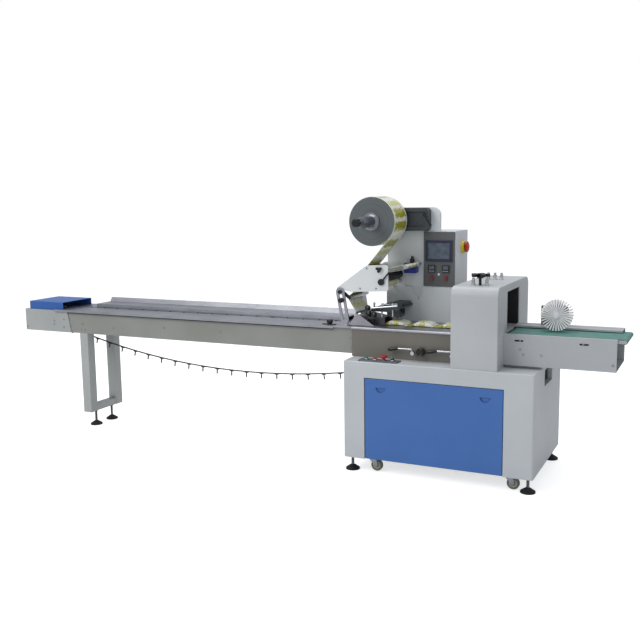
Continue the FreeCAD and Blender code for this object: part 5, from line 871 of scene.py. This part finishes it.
def make_press_rod():
    """Chrome handle rod of the press unit, with ball ends."""
    start, end = Vector((144, 206, 861)), Vector((213, 260, 861))
    length = (end - start).length
    rod = Shape().lathe([(0, -9), (5, -8), (8, -3), (8, 1),
                         (5.5, 5), (5.4, 8), (5.4, length - 6), (6.6, length - 3),
                         (6.6, length + 2), (0, length + 3)], start, end - start, 20)
    finished("press_handle_rod", rod.mesh("press_handle_rod"),
             [FINISHES["polished_chrome"]])


def make_press_fittings():
    """Spring rods, clamp knobs and the stacked bars of the press unit over the film tube."""
    bars, rods, knobs = Shape(), Shape(), Shape()
    bars.block((70, 214, 822), (214, 236, 836), 1.5)
    bars.block((96, 200, 836), (232, 212, 850), 1.5)
    bars.block((150, 300, 848), (224, 420, 862), 1.5)
    for x, y, low, high in ((84, 225, 792, 872), (128, 225, 792, 866), (196, 206, 800, 872)):
        rods.lathe([(0, 0), (4.5, 0), (4.5, high - low - 14), (7, high - low - 13), (7, high - low - 7),
                    (3.5, high - low - 6), (3.5, high - low), (0, high - low)], (x, y, low), sides=14)
    rods.lathe([(0, 0), (5, 0), (5, 150), (0, 150)], (78, 194, 842), (1, 0, 0.12), 14)
    for x, y, z in ((72, 196, 812), (104, 192, 806), (60, 214, 838)):
        knobs.lathe([(0, 0), (8, 0), (8, 5), (14, 8), (15, 14), (14, 24), (9, 27), (0, 27)], (x, y, z),
                    (-0.2, -1, 0.3), 18)
    finished("press_bars", bars.mesh("press_bars"), [FINISHES["dark_bracket_paint"]])
    finished("press_spring_rods", rods.mesh("press_spring_rods"),
             [FINISHES["polished_chrome"]])
    finished("press_clamp_knobs", knobs.mesh("press_clamp_knobs"),
             [FINISHES["black_bakelite"]])


def make_rear_guard():
    """The wide folded top of the rear side panel, which covers the belt's far edge."""
    shape = Shape()
    shape.block((805, 338, 766.2), (1330.5, 406.8, 769.8), 0.8)
    shape.block((805, 338, 760.5), (1330.5, 340.4, 767.5), 0.6)
    finished("rear_side_guard", shape.mesh("rear_side_guard"),
             [LAMP_TONED_FINISHES["discharge_frame"]])


def make_infeed_shadow_lip():
    """A dark strip under the front wing of the deck, along the whole side plate: painted shade where the deck
    overhangs the side.
    """
    shape = Shape()
    shape.block((-1960, 124.5, 727), (-118, 136.6, 733.5), 0.6)
    finished("deck_under_lip", shape.mesh("deck_under_lip"), [PAINTED_SHADE_BLACK])


PRINTED = printed_film()


# seven nodes toned apart from their slot in the record, to suit the lamps of this scene: in part painted light
# and shade
LAMP_TONED_FINISHES = {
    # powder coat of the conveyor's sides, darker than the stand's, in part painted shade for the shadow under the
    # deck's overhang
    "infeed_frame": powder_coat("conveyor_side_painted_shade_coat", "8F918C", "84867F", "A8AAA5", 0.42),
    # powder coat of the discharge sides, in tone between the sheet paint and the cabinet's
    "discharge_frame": powder_coat("discharge_side_coat", "B4B7BA", "AAAEB1", "CBCDCF", 0.4),
    # bent stainless, darker and rougher than the table's
    "film_former": brushed_metal("rubbed_stainless", "86868B", "64646A", "X", (0.42, 0.6)),
    # turned metal of the clamping nut, darker than the turned aluminium
    "reel_shaft": brushed_metal("gunmetal_nut", "A6A9AF", "83868D", "Y", (0.26, 0.4), 0.8),
    # powder coat, lighter than the cabinet's: painted light that offsets the wound roll's shadow on the film
    # plate
    "back_plate": powder_coat("film_plate_painted_light_coat", "DDE1E4", "D4D9DC", "E8EBED", 0.4),
    # the same coat on the column and its base, a little darker
    "column_base": powder_coat("column_base_coat", "D4D8DB", "CBD0D3", "E2E5E7", 0.4),
    "control_column": powder_coat("column_coat", "D2D7DA", "C9CED2", "E0E4E6", 0.4),
}


def dress_cad_nodes():
    """Gives seven CAD nodes tones set to suit these lamps, in part painted light and shade, and every other that
    of its material slot in the record.
    """
    for part in frame["record"]["subparts"]:
        mesh = nodes[part["node"]].data
        mesh.materials.clear()
        # the seven toned nodes carry tones that are in part painted light and shade
        mesh.materials.append(LAMP_TONED_FINISHES.get(part["node"], FINISHES[part["material_slot"]]))


make_camera()
make_world()
middle = (cad_box[0] + cad_box[1]) / 2
make_lamp("key_softbox", middle + Vector((-2.2, -4.2, 3.4)), middle, 3.0, 122)
make_lamp("fill_softbox", middle + Vector((3.6, -3.0, 2.2)), middle, 3.0, 9)
make_lamp("top_softbox", middle + Vector((0.0, 0.4, 3.6)), middle, 3.5, 80)
make_floor()
dress_cad_nodes()
for make in (make_film_roll, make_film_web, make_film_tube, make_lug_chain, make_panel_details,
             make_stop_station,
             make_button_row, make_lever_grips, make_brush, make_castor_hubs, make_threads, make_screws,
             make_recess_shade, make_tunnel_painted_shade, make_press_rod, make_press_fittings, make_rear_guard,
             make_infeed_shadow_lip):
    make()

scene.view_settings.view_transform = "Standard"
